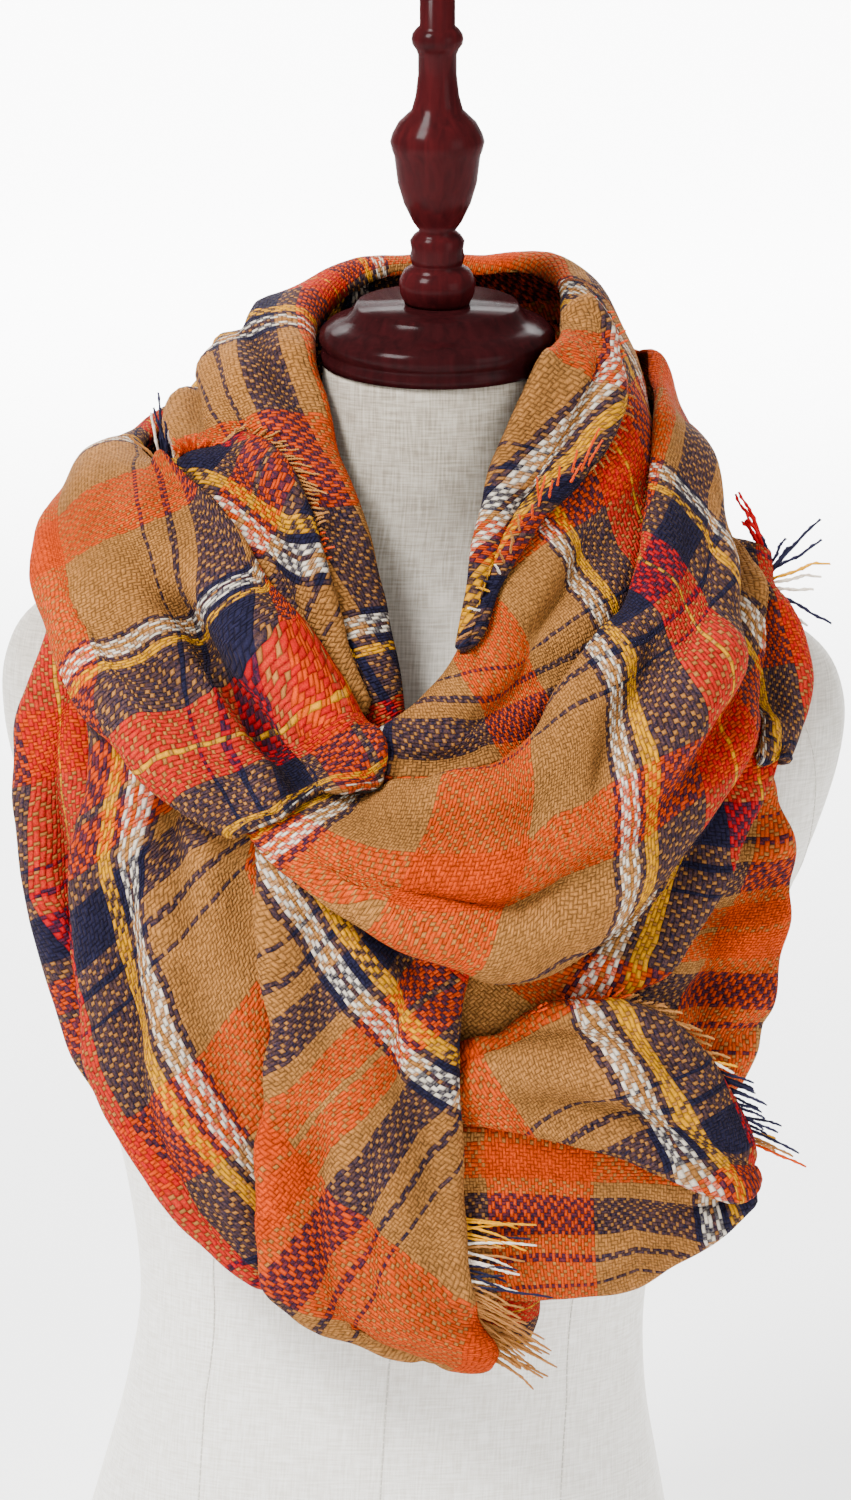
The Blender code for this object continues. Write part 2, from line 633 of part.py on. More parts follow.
def form_object(made_of):
    bm = sheet_of(form_rows())
    bmesh.ops.remove_doubles(bm, verts=bm.verts, dist=1e-6)
    bmesh.ops.holes_fill(bm, edges=bm.edges, sides=FORM_ROUND)
    bmesh.ops.recalc_face_normals(bm, faces=bm.faces)
    return mesh_object("form_body", bm, made_of)


def turned_object(name, outline, made_of):
    """A piece turned from its outline, on the axis that leans forward with the neck."""
    bm = bmesh.new()
    points = [bm.verts.new((radius * MM, 0, height * MM)) for radius, height in outline]
    for above, below in zip(points, points[1:]):
        bm.edges.new((above, below))
    thing = mesh_object(name, bm, made_of)
    thing.location = (0, -CAP_FORWARD * MM, CAP_HEIGHT * MM)
    thing.rotation_euler.x = LEAN
    screw = thing.modifiers.new("Turned", "SCREW")
    screw.steps = TURN_STEPS
    screw.render_steps = TURN_STEPS
    screw.use_merge_vertices = True
    screw.merge_threshold = 0.00001
    return thing


def main():
    clear_scene()
    bpy.context.scene.collection.children.link(bpy.data.collections.new(OBJECT_NAME))
    plaid = material("camel_plaid_cloth", (0.56, 0.33, 0.15), 0.9)
    linen = material("cream_linen_cover", (0.75, 0.72, 0.66), 0.8)
    mahogany = material("varnished_mahogany", (0.06, 0.012, 0.012), 0.2)
    laid, walls = laid_stretches()
    for name, rows in laid.items():
        cloth_object(name, rows, plaid)
    for name, fringe in FRINGES.items():
        fringe_object(name, fringe, laid, walls, plaid)
    form_object(linen)
    turned_object("neck_cap", CAP_PROFILE, mahogany)
    turned_object("finial", FINIAL_PROFILE, mahogany)


main()
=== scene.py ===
"""The finish of a plaid blanket scarf, wound round a linen-covered dress form with a turned neck cap and finial.

The cloth is drawn again at fine size over the same rails as its solids. The tables give points as they are seen from
the front, in millimetres: across from the left side of the view, down from its top, and forward of the neck's axis.
"""

import math
from collections import namedtuple

import bmesh
import bpy
import numpy as np
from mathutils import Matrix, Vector, noise
from mathutils.bvhtree import BVHTree


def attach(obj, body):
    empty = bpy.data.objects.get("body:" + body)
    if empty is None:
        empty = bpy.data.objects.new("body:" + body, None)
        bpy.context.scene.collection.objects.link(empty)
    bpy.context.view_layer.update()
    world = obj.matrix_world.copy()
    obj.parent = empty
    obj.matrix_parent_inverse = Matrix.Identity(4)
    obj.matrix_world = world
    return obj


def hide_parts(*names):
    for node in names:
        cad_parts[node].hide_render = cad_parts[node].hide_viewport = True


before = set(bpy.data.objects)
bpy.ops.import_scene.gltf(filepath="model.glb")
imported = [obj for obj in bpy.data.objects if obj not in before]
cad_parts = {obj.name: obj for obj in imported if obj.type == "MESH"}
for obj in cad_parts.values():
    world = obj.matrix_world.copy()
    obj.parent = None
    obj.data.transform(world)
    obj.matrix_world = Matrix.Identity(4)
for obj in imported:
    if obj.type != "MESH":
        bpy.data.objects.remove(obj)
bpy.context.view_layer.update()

MM = 0.001

# The view that the tables are measured in: its size at the neck's plane, its distance and its angle.
VIEW_WIDTH = 425.5
VIEW_HEIGHT = 750.0
VIEW_DISTANCE = 2600.0
VIEW_ELEVATION = math.radians(10)
VIEW_CENTRE_HEIGHT = 464.0
AXIS_ACROSS = 218.5

CLOTH = 1.8
JOIN_GAP = 1.3
NEARBY = 0.05
JOIN_ROWS = 5
LAYER_GAP = 0.5
REST_GAP = 0.3
REST_REACH = 2.5
FULLNESS = 2.2
ARCH_STEPS = 96
# A number to divide by in place of nothing.
LEAST = 1e-9

# Cloth is lifted away from the heart of the form wherever something lies beneath it.
HEART_HEIGHT = 120.0
HEART_RISE = 0.45
LIFT_REACH = 70.0
LIFT_SPREAD = 6.0
LIFT_KEPT = 0.8
AROUND_LESS = 1.2
LIFT_ROUNDS = 8
LEAST_LIFT = 0.05
CLEAR_ROUNDS = 3
CLEAR_SPREAD = 3.0

# The neck cap and finial are turned pieces on one axis that leans forward with the neck.
LEAN = math.radians(9)
CAP_HEIGHT = 661.0
CAP_FORWARD = 13.0
CAD_TURN_STEPS = 20
TURN_STEPS = 96
# Points nearer to each other than this many metres are made one.
WELD = 1e-6

# A section runs across a stretch, from its edge a to its edge b, and rises by its crown between them. A fold
# lifts or sinks the cloth from start to end along a stretch. A slice is an outline round the dress form.
Section = namedtuple("Section", "a_across a_down a_front b_across b_down b_front crown")
Fold = namedtuple("Fold", "start end place_start place_end width depth")
Stretch = namedtuple("Stretch", "sections folds lip_a lip_b along across follows", defaults=(None,))
Slice = namedtuple("Slice", "height shift forward half_width half_depth squareness lean slope")


def S(*values):
    return Section(*values)


# Innermost first: each stretch lies over those above it in this table.
STRETCHES = {
    "left_back_drape": Stretch([
        S(80, 292, 50, 40, 290, 20, 7),
        S(80, 320, 62, 36, 318, 34, 7),
        S(80, 355, 70, 28, 350, 42, 8),
        S(80, 390, 75, 22, 385, 46, 8),
        S(78, 425, 78, 20, 420, 50, 8),
        S(76, 460, 80, 23, 455, 52, 8),
        S(76, 500, 82, 32, 492, 58, 8),
        S(78, 535, 87, 46, 527, 68, 8),
        S(84, 566, 94, 60, 556, 80, 7),
    ], [Fold(0.1, 0.9, 0.6, 0.55, 0.1, -6)], 15, 25, 16, 7),
    "right_drape": Stretch([
        S(360, 356, 72, 326, 358, 86, 7),
        S(370, 378, 71, 326, 384, 90, 8),
        S(375, 405, 67, 326, 415, 94, 10),
        S(378, 435, 62, 318, 450, 98, 11),
        S(376, 465, 57, 308, 480, 100, 12),
        S(373, 495, 58, 302, 510, 101, 12),
        S(367, 522, 64, 308, 540, 102, 12),
        S(359, 547, 72, 318, 568, 100, 10),
    ], [Fold(0.15, 0.9, 0.35, 0.5, 0.1, -6)], 25, 15, 16, 8),
    "left_drape": Stretch([
        S(147, 350, 96, 70, 330, 60, 12),
        S(147, 367, 100, 66, 352, 68, 12),
        S(147, 386, 103, 64, 380, 77, 12),
        S(148, 410, 105, 62, 408, 82, 13),
        S(148, 435, 107, 58, 432, 84, 14),
        S(148, 470, 109, 56, 475, 86, 15),
        S(148, 510, 111, 56, 512, 90, 16),
        S(148, 550, 114, 64, 552, 96, 16),
        S(146, 590, 116, 84, 588, 103, 14),
        S(145, 620, 116, 109, 620, 110, 10),
        S(146, 643, 116, 137, 641, 114, 5),
    ], [Fold(0.0, 0.45, 0.5, 0.55, 0.07, -9), Fold(0.3, 0.95, 0.72, 0.6, 0.08, -6)], 15, 25, 20, 9),
    "center_under": Stretch([
        S(258, 600, 113, 205, 600, 118, 4),
        S(266, 626, 114, 210, 630, 122, 5),
        S(268, 652, 114, 220, 655, 122, 5),
        S(264, 672, 110, 236, 674, 115, 3),
    ], [], 0, 0, 6, 4),
    "corner_under": Stretch([
        S(215, 560, 110, 218, 636, 106, 12),
        S(240, 556, 114, 243, 639, 108, 13),
        S(268, 556, 118, 270, 641, 110, 14),
        S(297, 562, 120, 298, 642, 112, 14),
        S(325, 574, 120, 325, 630, 114, 12),
        S(350, 588, 118, 353, 615, 114, 8),
        S(374, 592, 114, 376, 596, 113, 3),
    ], [Fold(0.0, 1.0, 0.45, 0.4, 0.12, -4)], 10, 25, 14, 7),
    "tail_upper": Stretch([
        S(338, 370, 84, 361, 380, 66, 4),
        S(344, 380, 88, 366, 392, 70, 8),
        S(338, 402, 97, 359, 420, 84, 8),
        S(320, 426, 104, 347, 452, 96, 8),
        S(295, 446, 110, 330, 484, 106, 8),
        S(272, 458, 112, 304, 502, 112, 8),
        S(248, 466, 112, 270, 515, 114, 8),
        S(222, 470, 112, 228, 525, 114, 8),
    ], [Fold(0.1, 0.95, 0.4, 0.5, 0.14, -4)], 0, 5, 14, 7),
    "corner_flap": Stretch([
        S(218, 531, 122, 220, 557, 120, 6),
        S(246, 518, 130, 250, 560, 128, 10),
        S(278, 504, 136, 285, 567, 134, 12),
        S(310, 501, 136, 320, 580, 134, 12),
        S(335, 512, 132, 346, 594, 130, 10),
        S(353, 535, 124, 364, 598, 124, 7),
        S(372, 570, 116, 378, 588, 116, 3),
    ], [Fold(0.0, 0.6, 0.3, 0.2, 0.12, -5), Fold(0.2, 1.0, 0.62, 0.7, 0.12, -4)], 5, 10, 16, 8),
    "center_drop": Stretch([
        S(232, 440, 118, 142, 420, 112, 14),
        S(231, 475, 124, 143, 458, 116, 14),
        S(226, 515, 130, 147, 500, 118, 14),
        S(226, 555, 132, 147, 545, 120, 14),
        S(228, 595, 132, 143, 590, 120, 14),
        S(230, 628, 130, 144, 628, 118, 14),
        S(236, 656, 126, 154, 648, 114, 12),
        S(247, 672, 120, 178, 661, 112, 8),
        S(245, 681, 116, 212, 673, 110, 4),
    ], [Fold(0.0, 0.75, 0.3, 0.45, 0.08, -5), Fold(0.25, 1.0, 0.75, 0.6, 0.1, -5)], 10, 20, 20, 9),
    "collar": Stretch([
        S(202, 364, 98, 190, 370, 94, 3),
        S(197, 335, 91, 172, 345, 83, 8),
        S(190, 305, 82, 150, 318, 70, 12),
        S(182, 275, 72, 125, 290, 55, 15),
        S(174, 250, 62, 107, 262, 40, 17),
        S(165, 226, 47, 97, 242, 22, 18),
        S(159, 199, 24, 92, 230, 0, 19),
        S(158, 174, -6, 95, 222, -30, 21),
        S(170, 153, -34, 116, 218, -64, 21),
        S(191, 140, -50, 158, 220, -86, 22),
        S(218, 136, -56, 218, 222, -94, 22),
        S(245, 138, -50, 270, 218, -86, 22),
        S(266, 147, -34, 298, 210, -62, 20),
        S(276, 165, -10, 306, 206, -34, 16),
    ], [Fold(0.05, 0.5, 0.45, 0.5, 0.09, -6), Fold(0.3, 0.95, 0.7, 0.6, 0.09, -6)], 10, 10, 30, 9),
    "right_inner_band": Stretch([
        S(276, 165, -10, 306, 206, -34, 16),
        S(277, 190, 12, 312, 224, -8, 16),
        S(274, 224, 36, 322, 252, 16, 16),
        S(265, 252, 54, 324, 278, 42, 17),
        S(254, 280, 71, 314, 303, 64, 18),
        S(244, 307, 86, 300, 330, 84, 18),
        S(233, 331, 98, 283, 358, 100, 18),
        S(219, 351, 106, 262, 384, 110, 16),
        S(203, 363, 110, 236, 400, 114, 14),
        S(184, 372, 112, 197, 407, 116, 10),
    ], [Fold(0.3, 0.95, 0.45, 0.5, 0.1, -6)], 10, 10, 20, 9, "collar"),
    "left_inner_fall": Stretch([
        S(126, 228, 48, 82, 236, 30, 8),
        S(146, 248, 62, 96, 264, 46, 10),
        S(159, 272, 72, 116, 291, 60, 10),
        S(166, 300, 80, 138, 318, 74, 10),
        S(174, 330, 90, 160, 346, 88, 8),
        S(185, 358, 99, 180, 368, 97, 4),
    ], [Fold(0.0, 1.0, 0.35, 0.4, 0.1, -5), Fold(0.0, 0.9, 0.7, 0.7, 0.1, -5)], 5, 5, 14, 7),
    "right_inner_fall": Stretch([
        S(276, 182, 12, 286, 172, 0, 4),
        S(275, 192, 24, 300, 184, 12, 6),
        S(270, 204, 36, 306, 200, 28, 6),
        S(262, 217, 47, 304, 222, 42, 6),
        S(253, 231, 58, 295, 243, 56, 6),
        S(245, 247, 68, 282, 257, 68, 6),
        S(239, 267, 79, 266, 275, 80, 6),
        S(236, 290, 90, 252, 293, 91, 5),
        S(233, 314, 99, 241, 317, 100, 4),
        S(230, 333, 105, 234, 335, 106, 3),
    ], [Fold(0.1, 0.9, 0.5, 0.5, 0.15, -4)], 5, 0, 16, 6),
    "right_outer_fold": Stretch([
        S(384, 275, 4, 353, 272, -10, 4),
        S(382, 297, 18, 354, 296, 14, 8),
        S(391, 313, 30, 358, 315, 34, 12),
        S(395, 332, 38, 362, 334, 48, 12),
        S(393, 352, 46, 364, 356, 60, 12),
        S(383, 372, 56, 361, 378, 72, 12),
        S(371, 390, 66, 355, 398, 82, 10),
    ], [Fold(0.2, 1.0, 0.5, 0.5, 0.14, -4)], 20, 10, 14, 7),
    "front_band": Stretch([
        S(162, 394, 116, 128, 416, 116, 8),
        S(180, 404, 125, 156, 440, 125, 15),
        S(202, 405, 131, 184, 462, 129, 20),
        S(228, 401, 133, 216, 479, 131, 24),
        S(254, 394, 131, 248, 488, 131, 26),
        S(271, 374, 127, 280, 478, 127, 26),
        S(283, 351, 118, 308, 453, 118, 26),
        S(299, 328, 107, 334, 420, 106, 25),
        S(317, 304, 90, 351, 386, 86, 24),
        S(323, 277, 66, 355, 348, 60, 22),
        S(321, 252, 36, 352, 308, 30, 18),
        S(316, 234, 2, 345, 278, -6, 16),
        S(307, 224, -36, 334, 274, -46, 15),
    ], [Fold(0.08, 0.5, 0.62, 0.5, 0.08, -8), Fold(0.35, 0.9, 0.3, 0.35, 0.1, -6),
        Fold(0.5, 1.0, 0.65, 0.6, 0.09, -6)], 25, 25, 28, 11),
    "back_wrap": Stretch([
        S(307, 224, -36, 334, 274, -46, 15),
        S(288, 214, -66, 312, 290, -74, 17),
        S(258, 206, -90, 272, 304, -90, 18),
        S(218, 200, -100, 218, 312, -96, 18),
        S(174, 204, -90, 160, 306, -90, 18),
        S(128, 220, -70, 95, 286, -74, 18),
        S(92, 236, -42, 56, 262, -48, 18),
    ], [Fold(0.0, 1.0, 0.35, 0.4, 0.09, -7), Fold(0.1, 0.9, 0.7, 0.62, 0.08, -6)], 20, 20, 18, 9, "front_band"),
    "left_fold": Stretch([
        S(92, 236, -42, 56, 262, -48, 18),
        S(79, 244, -20, 42, 258, -24, 19),
        S(86, 255, 14, 32, 264, 12, 20),
        S(104, 272, 44, 27, 280, 34, 22),
        S(124, 292, 66, 28, 302, 52, 22),
        S(139, 312, 80, 36, 326, 66, 22),
        S(155, 332, 92, 48, 350, 80, 22),
        S(171, 352, 102, 66, 373, 92, 22),
        S(182, 371, 112, 86, 394, 104, 20),
        S(189, 385, 119, 108, 411, 115, 16),
        S(187, 400, 124, 132, 426, 122, 11),
    ], [Fold(0.35, 1.0, 0.42, 0.4, 0.08, -16), Fold(0.1, 0.8, 0.75, 0.7, 0.09, -6)], 25, 25, 24, 11, "back_wrap"),
}

# Slices of the dress form, from its flat underside up to the leaning top of its neck.
FORM_SLICES = [
    Slice(0, -34, 0, 165, 112, 2.2, 0, 0),
    Slice(90, -29, 0, 143, 100, 2.2, 0, 0),
    Slice(140, -26, 0, 132, 92, 2.2, 0, 0),
    Slice(190, -22, 2, 128.5, 86, 2.2, 0, 0),
    Slice(250, -19, 5, 138, 90, 2.2, 0, 0),
    Slice(310, -16, 8, 156, 98, 2.2, 0, 0),
    Slice(360, -13, 9, 173, 103, 2.2, 0, 0.5),
    Slice(400, -10, 8, 187, 103, 2.2, 0, 1),
    Slice(440, -8, 4, 200, 98, 2.3, 0, 2),
    Slice(475, -7, 0, 209, 90, 2.3, 0, 2.6),
    Slice(503, -6, -4, 209, 80, 2.2, 0, 2.8),
    Slice(527, -5, -6, 196, 70, 2.0, 0, 2.8),
    Slice(548, -4, -6, 160, 63, 1.8, 0, 2.4),
    Slice(568, -3, -4, 118, 58, 1.8, 1, 1.6),
    Slice(588, -1, -1, 84, 56, 1.9, 3, 0.8),
    Slice(608, 0, 3, 66, 56, 2.0, 5, 0),
    Slice(634, 0, 8, 58, 56, 2.0, 8, 0),
    Slice(660.6, 0, 13, 56, 55, 2.0, 9, 0),
]
FORM_ROUND = 32

# Radius and height above the cap's underside, from the top of each turned piece down.
CAP_PROFILE = [
    (0, 28.4), (39.5, 28.4), (41, 26.3), (44, 22.4), (49.5, 19.7), (54.5, 17.5), (57.6, 14.1), (58, 10.6),
    (56.6, 7.8), (55.8, 6), (57.2, 4), (57.2, 0), (0, 0),
]
FINIAL_PROFILE = [
    (0, 180), (7, 180), (8.6, 178.8), (8.6, 165.5), (10.4, 163.9), (12.2, 161.4), (12.6, 159),
    (12.2, 156.6), (10.4, 154.1), (9.4, 151.4), (9.4, 141.8), (10.7, 131), (12.6, 124.3), (19, 118.1),
    (22, 112.5), (23, 108.9), (22, 104.7), (21, 102.2), (19.4, 88.9), (16.4, 78.6), (12, 69.4), (8.8, 64.9),
    (11.6, 62.6), (13.4, 59.8), (12.7, 55.6), (13.4, 52), (12.6, 48.8), (12, 47.5), (16, 45.1),
    (18.4, 40.9), (18.8, 38.2), (18.2, 33.9), (16.6, 30.4), (16, 28.8), (0, 28.8),
]


def view_frame():
    """The view's centre, and what it sees as up and as towards it."""
    up = Vector((0, math.sin(VIEW_ELEVATION), math.cos(VIEW_ELEVATION)))
    towards = Vector((0, -math.cos(VIEW_ELEVATION), math.sin(VIEW_ELEVATION)))
    return Vector((VIEW_WIDTH / 2 - AXIS_ACROSS, 0, VIEW_CENTRE_HEIGHT)), up, towards


def seen(across, down, front):
    """The point that the front view shows at (across, down), as far forward of the neck's plane as given."""
    centre, up, towards = view_frame()
    eye = centre + towards * VIEW_DISTANCE
    on_plane = centre + Vector((across - VIEW_WIDTH / 2, 0, 0)) + up * (VIEW_HEIGHT / 2 - down)
    ray = on_plane - eye
    return eye + ray * ((-front - eye.y) / ray.y)


def through(values, t):
    """A smooth curve through the values, read at station t (Catmull-Rom)."""
    last = len(values) - 1
    i = min(int(t), last - 1)
    u = t - i
    p1, p2 = values[i], values[i + 1]
    p0 = values[i - 1] if i > 0 else p1 * 2 - p2
    p3 = values[i + 2] if i + 2 <= last else p2 * 2 - p1
    return 0.5 * (p1 * 2 + (p2 - p0) * u + (p0 * 2 - p1 * 5 + p2 * 4 - p3) * u * u
                  + (p1 * 3 - p0 - p2 * 3 + p3) * u * u * u)


def power(x, e):
    return math.copysign(abs(x) ** e, x)


def profile(width, crown, lip_a, lip_b, columns):
    """(share of the width, height) of points evenly spaced along an arch whose ends turn under by the lips."""
    dense = []
    for k in range(ARCH_STEPS + 1):
        angle = math.radians(-lip_a + (180 + lip_a + lip_b) * k / ARCH_STEPS)
        share = (1 - power(math.cos(angle), 2 / FULLNESS)) / 2
        dense.append((share, power(math.sin(angle), 2 / FULLNESS) * crown))
    gone = [0.0]
    for (s0, h0), (s1, h1) in zip(dense, dense[1:]):
        gone.append(gone[-1] + math.hypot((s1 - s0) * width, h1 - h0))
    points = []
    k = 0
    for column in range(columns + 1):
        want = gone[-1] * column / columns
        while k < ARCH_STEPS - 1 and gone[k + 1] < want:
            k += 1
        share = (want - gone[k]) / max(gone[k + 1] - gone[k], LEAST)
        points.append(tuple(a + (b - a) * share for a, b in zip(dense[k], dense[k + 1])))
    return points


def fold_height(folds, station, place):
    """How far the folds lift (or, below zero, sink) the cloth at a place across it."""
    height = 0.0
    for fold in folds:
        if not fold.start <= station <= fold.end:
            continue
        along = (station - fold.start) / (fold.end - fold.start)
        middle = fold.place_start + (fold.place_end - fold.place_start) * along
        fade_in = 1.0 if fold.start <= 0 else min(1.0, 4 * along)
        fade_out = 1.0 if fold.end >= 1 else min(1.0, 4 * (1 - along))
        off = (place - middle) / fold.width
        height += fold.depth * math.exp(-off * off) * fade_in * fade_out
    return height


def raw_rows(stretch, along, across):
    """The stretch's points before it is laid over the others, a list of rows from its first section to its last."""
    sections = stretch.sections
    edge_a = [seen(s.a_across, s.a_down, s.a_front) for s in sections]
    edge_b = [seen(s.b_across, s.b_down, s.b_front) for s in sections]
    crowns = [s.crown for s in sections]
    last = len(sections) - 1
    heart = Vector((0, 0, VIEW_CENTRE_HEIGHT))
    frames = []
    outward_sum = 0.0
    for row in range(along + 1):
        t = last * row / along
        a, b = through(edge_a, t), through(edge_b, t)
        before, after = max(t - NEARBY, 0), min(t + NEARBY, last)
        tangent = through(edge_a, after) + through(edge_b, after) - through(edge_a, before) - through(edge_b, before)
        normal = (b - a).cross(tangent).normalized()
        outward_sum += normal.dot((a + b) / 2 - heart)
        frames.append((a, b, normal, through(crowns, t)))
    side = math.copysign(1, outward_sum)
    rows = []
    for row, (a, b, normal, crown) in enumerate(frames):
        line = []
        for column, (share, height) in enumerate(profile((b - a).length, crown, stretch.lip_a, stretch.lip_b, across)):
            lift = height + fold_height(stretch.folds, row / along, column / across)
            line.append(a + (b - a) * share + normal * (side * lift))
        rows.append(line)
    return rows


def outward(p):
    heart = Vector((0, 0, HEART_HEIGHT + HEART_RISE * p.z))
    return (p - heart).normalized()


def lift_needed(p, beneath, spread):
    """How far p has to move outward to clear the walls beneath it and round it, each given with its thickness."""
    way = outward(p)
    side = way.orthogonal().normalized() * spread
    other = way.cross(side)
    offsets = [side * math.cos(k * math.pi / 3) + other * math.sin(k * math.pi / 3) for k in range(6)]
    need = 0.0
    for tree, wall in beneath:
        spares = [(Vector(), wall + LAYER_GAP)] + [(offset, wall + LAYER_GAP - AROUND_LESS) for offset in offsets]
        for offset, spare in spares:
            hit = tree.ray_cast(p + way * LIFT_REACH + offset, -way, LIFT_REACH + spare)
            if hit[0] is not None:
                need = max(need, LIFT_REACH - hit[3] + spare)
    return need


def soften(lifts):
    """Spreads each lift over its neighbours, a little less at each step away."""
    along, across = len(lifts), len(lifts[0])
    for _ in range(LIFT_ROUNDS):
        for i in range(along):
            for j in range(across):
                near = [lifts[i + di][j + dj] for di, dj in ((-1, 0), (1, 0), (0, -1), (0, 1))
                        if 0 <= i + di < along and 0 <= j + dj < across]
                lifts[i][j] = max(lifts[i][j], LIFT_KEPT * max(near))


def lifted(rows, lifts):
    return [[p + outward(p) * lift for p, lift in zip(line, raised)] for line, raised in zip(rows, lifts)]


def lay_over(rows, beneath):
    """Lifts the rows clear of the walls beneath them, first at their points and then between them too."""
    lifts = [[lift_needed(p, beneath, LIFT_SPREAD) for p in line] for line in rows]
    soften(lifts)
    for _ in range(CLEAR_ROUNDS):
        laid = lifted(rows, lifts)
        for i in range(len(rows) - 1):
            for j in range(len(rows[0]) - 1):
                a, b, c, d = laid[i][j], laid[i][j + 1], laid[i + 1][j + 1], laid[i + 1][j]
                between = ((a + b + c + d) / 4, (a + b) / 2, (b + c) / 2, (c + d) / 2, (d + a) / 2)
                need = max(lift_needed(p, beneath, CLEAR_SPREAD) for p in between)
                if need > LEAST_LIFT:
                    for k, m in ((i, j), (i, j + 1), (i + 1, j + 1), (i + 1, j)):
                        lifts[k][m] += need
        soften(lifts)
    return lifted(rows, lifts)


def settle(rows, beneath):
    """Brings the cloth down onto each wall that it all but touches, at the point nearest to that wall."""
    rows = [list(line) for line in rows]
    for tree, wall in beneath:
        nearest = []
        for i in range(2, len(rows) - 2):
            for j, p in enumerate(rows[i]):
                found = tree.find_nearest(p)
                nearest.append((found[3] - wall - REST_GAP, i, j, (found[0] - p).normalized()))
        gap, i, j, way = min(nearest, key=lambda entry: entry[0])
        if 0 < gap < REST_REACH:
            rows[i][j] = rows[i][j] + way * gap
            for k in (i - 1, i + 1):
                rows[k][j] = rows[k][j] + way * gap / 2
    return rows


def bend_end(rows, goal, first):
    """Bends the first (or last) few rows so that the stretch starts (or ends) on the goal's points."""
    at = 0 if first else len(rows) - 1
    moves = [there - here for here, there in zip(rows[at], goal)]
    bent = [list(line) for line in rows]
    for i in range(JOIN_ROWS):
        k = i if first else at - i
        bent[k] = [p + move * (1 - i / JOIN_ROWS) for p, move in zip(rows[k], moves)]
    return bent


def resampled(line, count):
    """As many points as asked for, spread evenly along a line of points."""
    return [through(line, (len(line) - 1) * k / (count - 1)) for k in range(count)]


def tree_of(rows):
    across = len(rows[0])
    faces = []
    for i in range(len(rows) - 1):
        for j in range(across - 1):
            k = i * across + j
            faces.append((k, k + 1, k + across + 1, k + across))
    return BVHTree.FromPolygons([p for line in rows for p in line], faces)


def form_rows():
    rows = []
    for s in FORM_SLICES:
        line = []
        for k in range(FORM_ROUND + 1):
            angle = 2 * math.pi * k / FORM_ROUND
            x = s.half_width * power(math.cos(angle), 2 / s.squareness)
            y = s.half_depth * power(math.sin(angle), 2 / s.squareness)
            z = s.height + y * math.tan(math.radians(s.lean)) - x * math.tan(math.radians(s.slope))
            line.append(Vector((s.shift + x, y - s.forward, z)))
        rows.append(line)
    return rows


def turned_point(radius, height, angle):
    """A point of a turned piece, on the axis that leans forward with the neck."""
    x, y = radius * math.cos(angle), radius * math.sin(angle)
    return Vector((x, y * math.cos(LEAN) - height * math.sin(LEAN) - CAP_FORWARD,
                   y * math.sin(LEAN) + height * math.cos(LEAN) + CAP_HEIGHT))


def cap_rows():
    """The neck cap's rings, with as many points as its solid has."""
    return [[turned_point(radius, height, 2 * math.pi * k / CAD_TURN_STEPS) for k in range(CAD_TURN_STEPS + 1)]
            for radius, height in CAP_PROFILE]


def laid_stretches():
    """Every stretch's rows, laid one over another on the form, innermost first."""
    beneath = {"form": (tree_of(form_rows()), CLOTH / 2), "cap": (tree_of(cap_rows()), CLOTH / 2)}
    laid = {}
    for name, stretch in STRETCHES.items():
        rows = raw_rows(stretch, stretch.along, stretch.across)
        before = laid.get(stretch.follows)
        if before:
            rows = bend_end(rows, resampled(before[-1], len(rows[0])), True)
        under = [held for other, held in beneath.items() if other != stretch.follows]
        rows = settle(lay_over(rows, under), under)
        if before:
            laid[stretch.follows] = bend_end(before, resampled(rows[0], len(before[0])), False)
            beneath[stretch.follows] = (tree_of(laid[stretch.follows]), CLOTH)
            rows[0] = [p + (following - p).normalized() * JOIN_GAP for p, following in zip(rows[0], rows[1])]
        laid[name] = rows
        beneath[name] = (tree_of(rows), CLOTH)
    return laid


# ---- the cloth at fine size ----

FINE = 2.2
SHEET = 1.5
OVER_GAP = 0.25
OVER_REACH = 60.0
JOIN_FADE = 8
OVER_ROUNDS = 2
OVER_MARGIN = 12
OVER_SPREAD = 3
PUFF = 6.0
PUFF_EDGE = 15.0
# Creases are drawn deeper than the table says, run on a little past their ends, and have raised shoulders.
CREASE_DEPTH = 1.6
RUN_ON = 0.15
SHOULDER_RISE = 0.35
SHOULDER_WIDE = 2.4
RUFFLE = 2.2
RUFFLE_SIZE = 26.0

# A crease runs from start to end along a stretch, at places across it, and sinks (or lifts) the cloth by its depth.
Crease = namedtuple("Crease", "start end place_start place_end width depth")

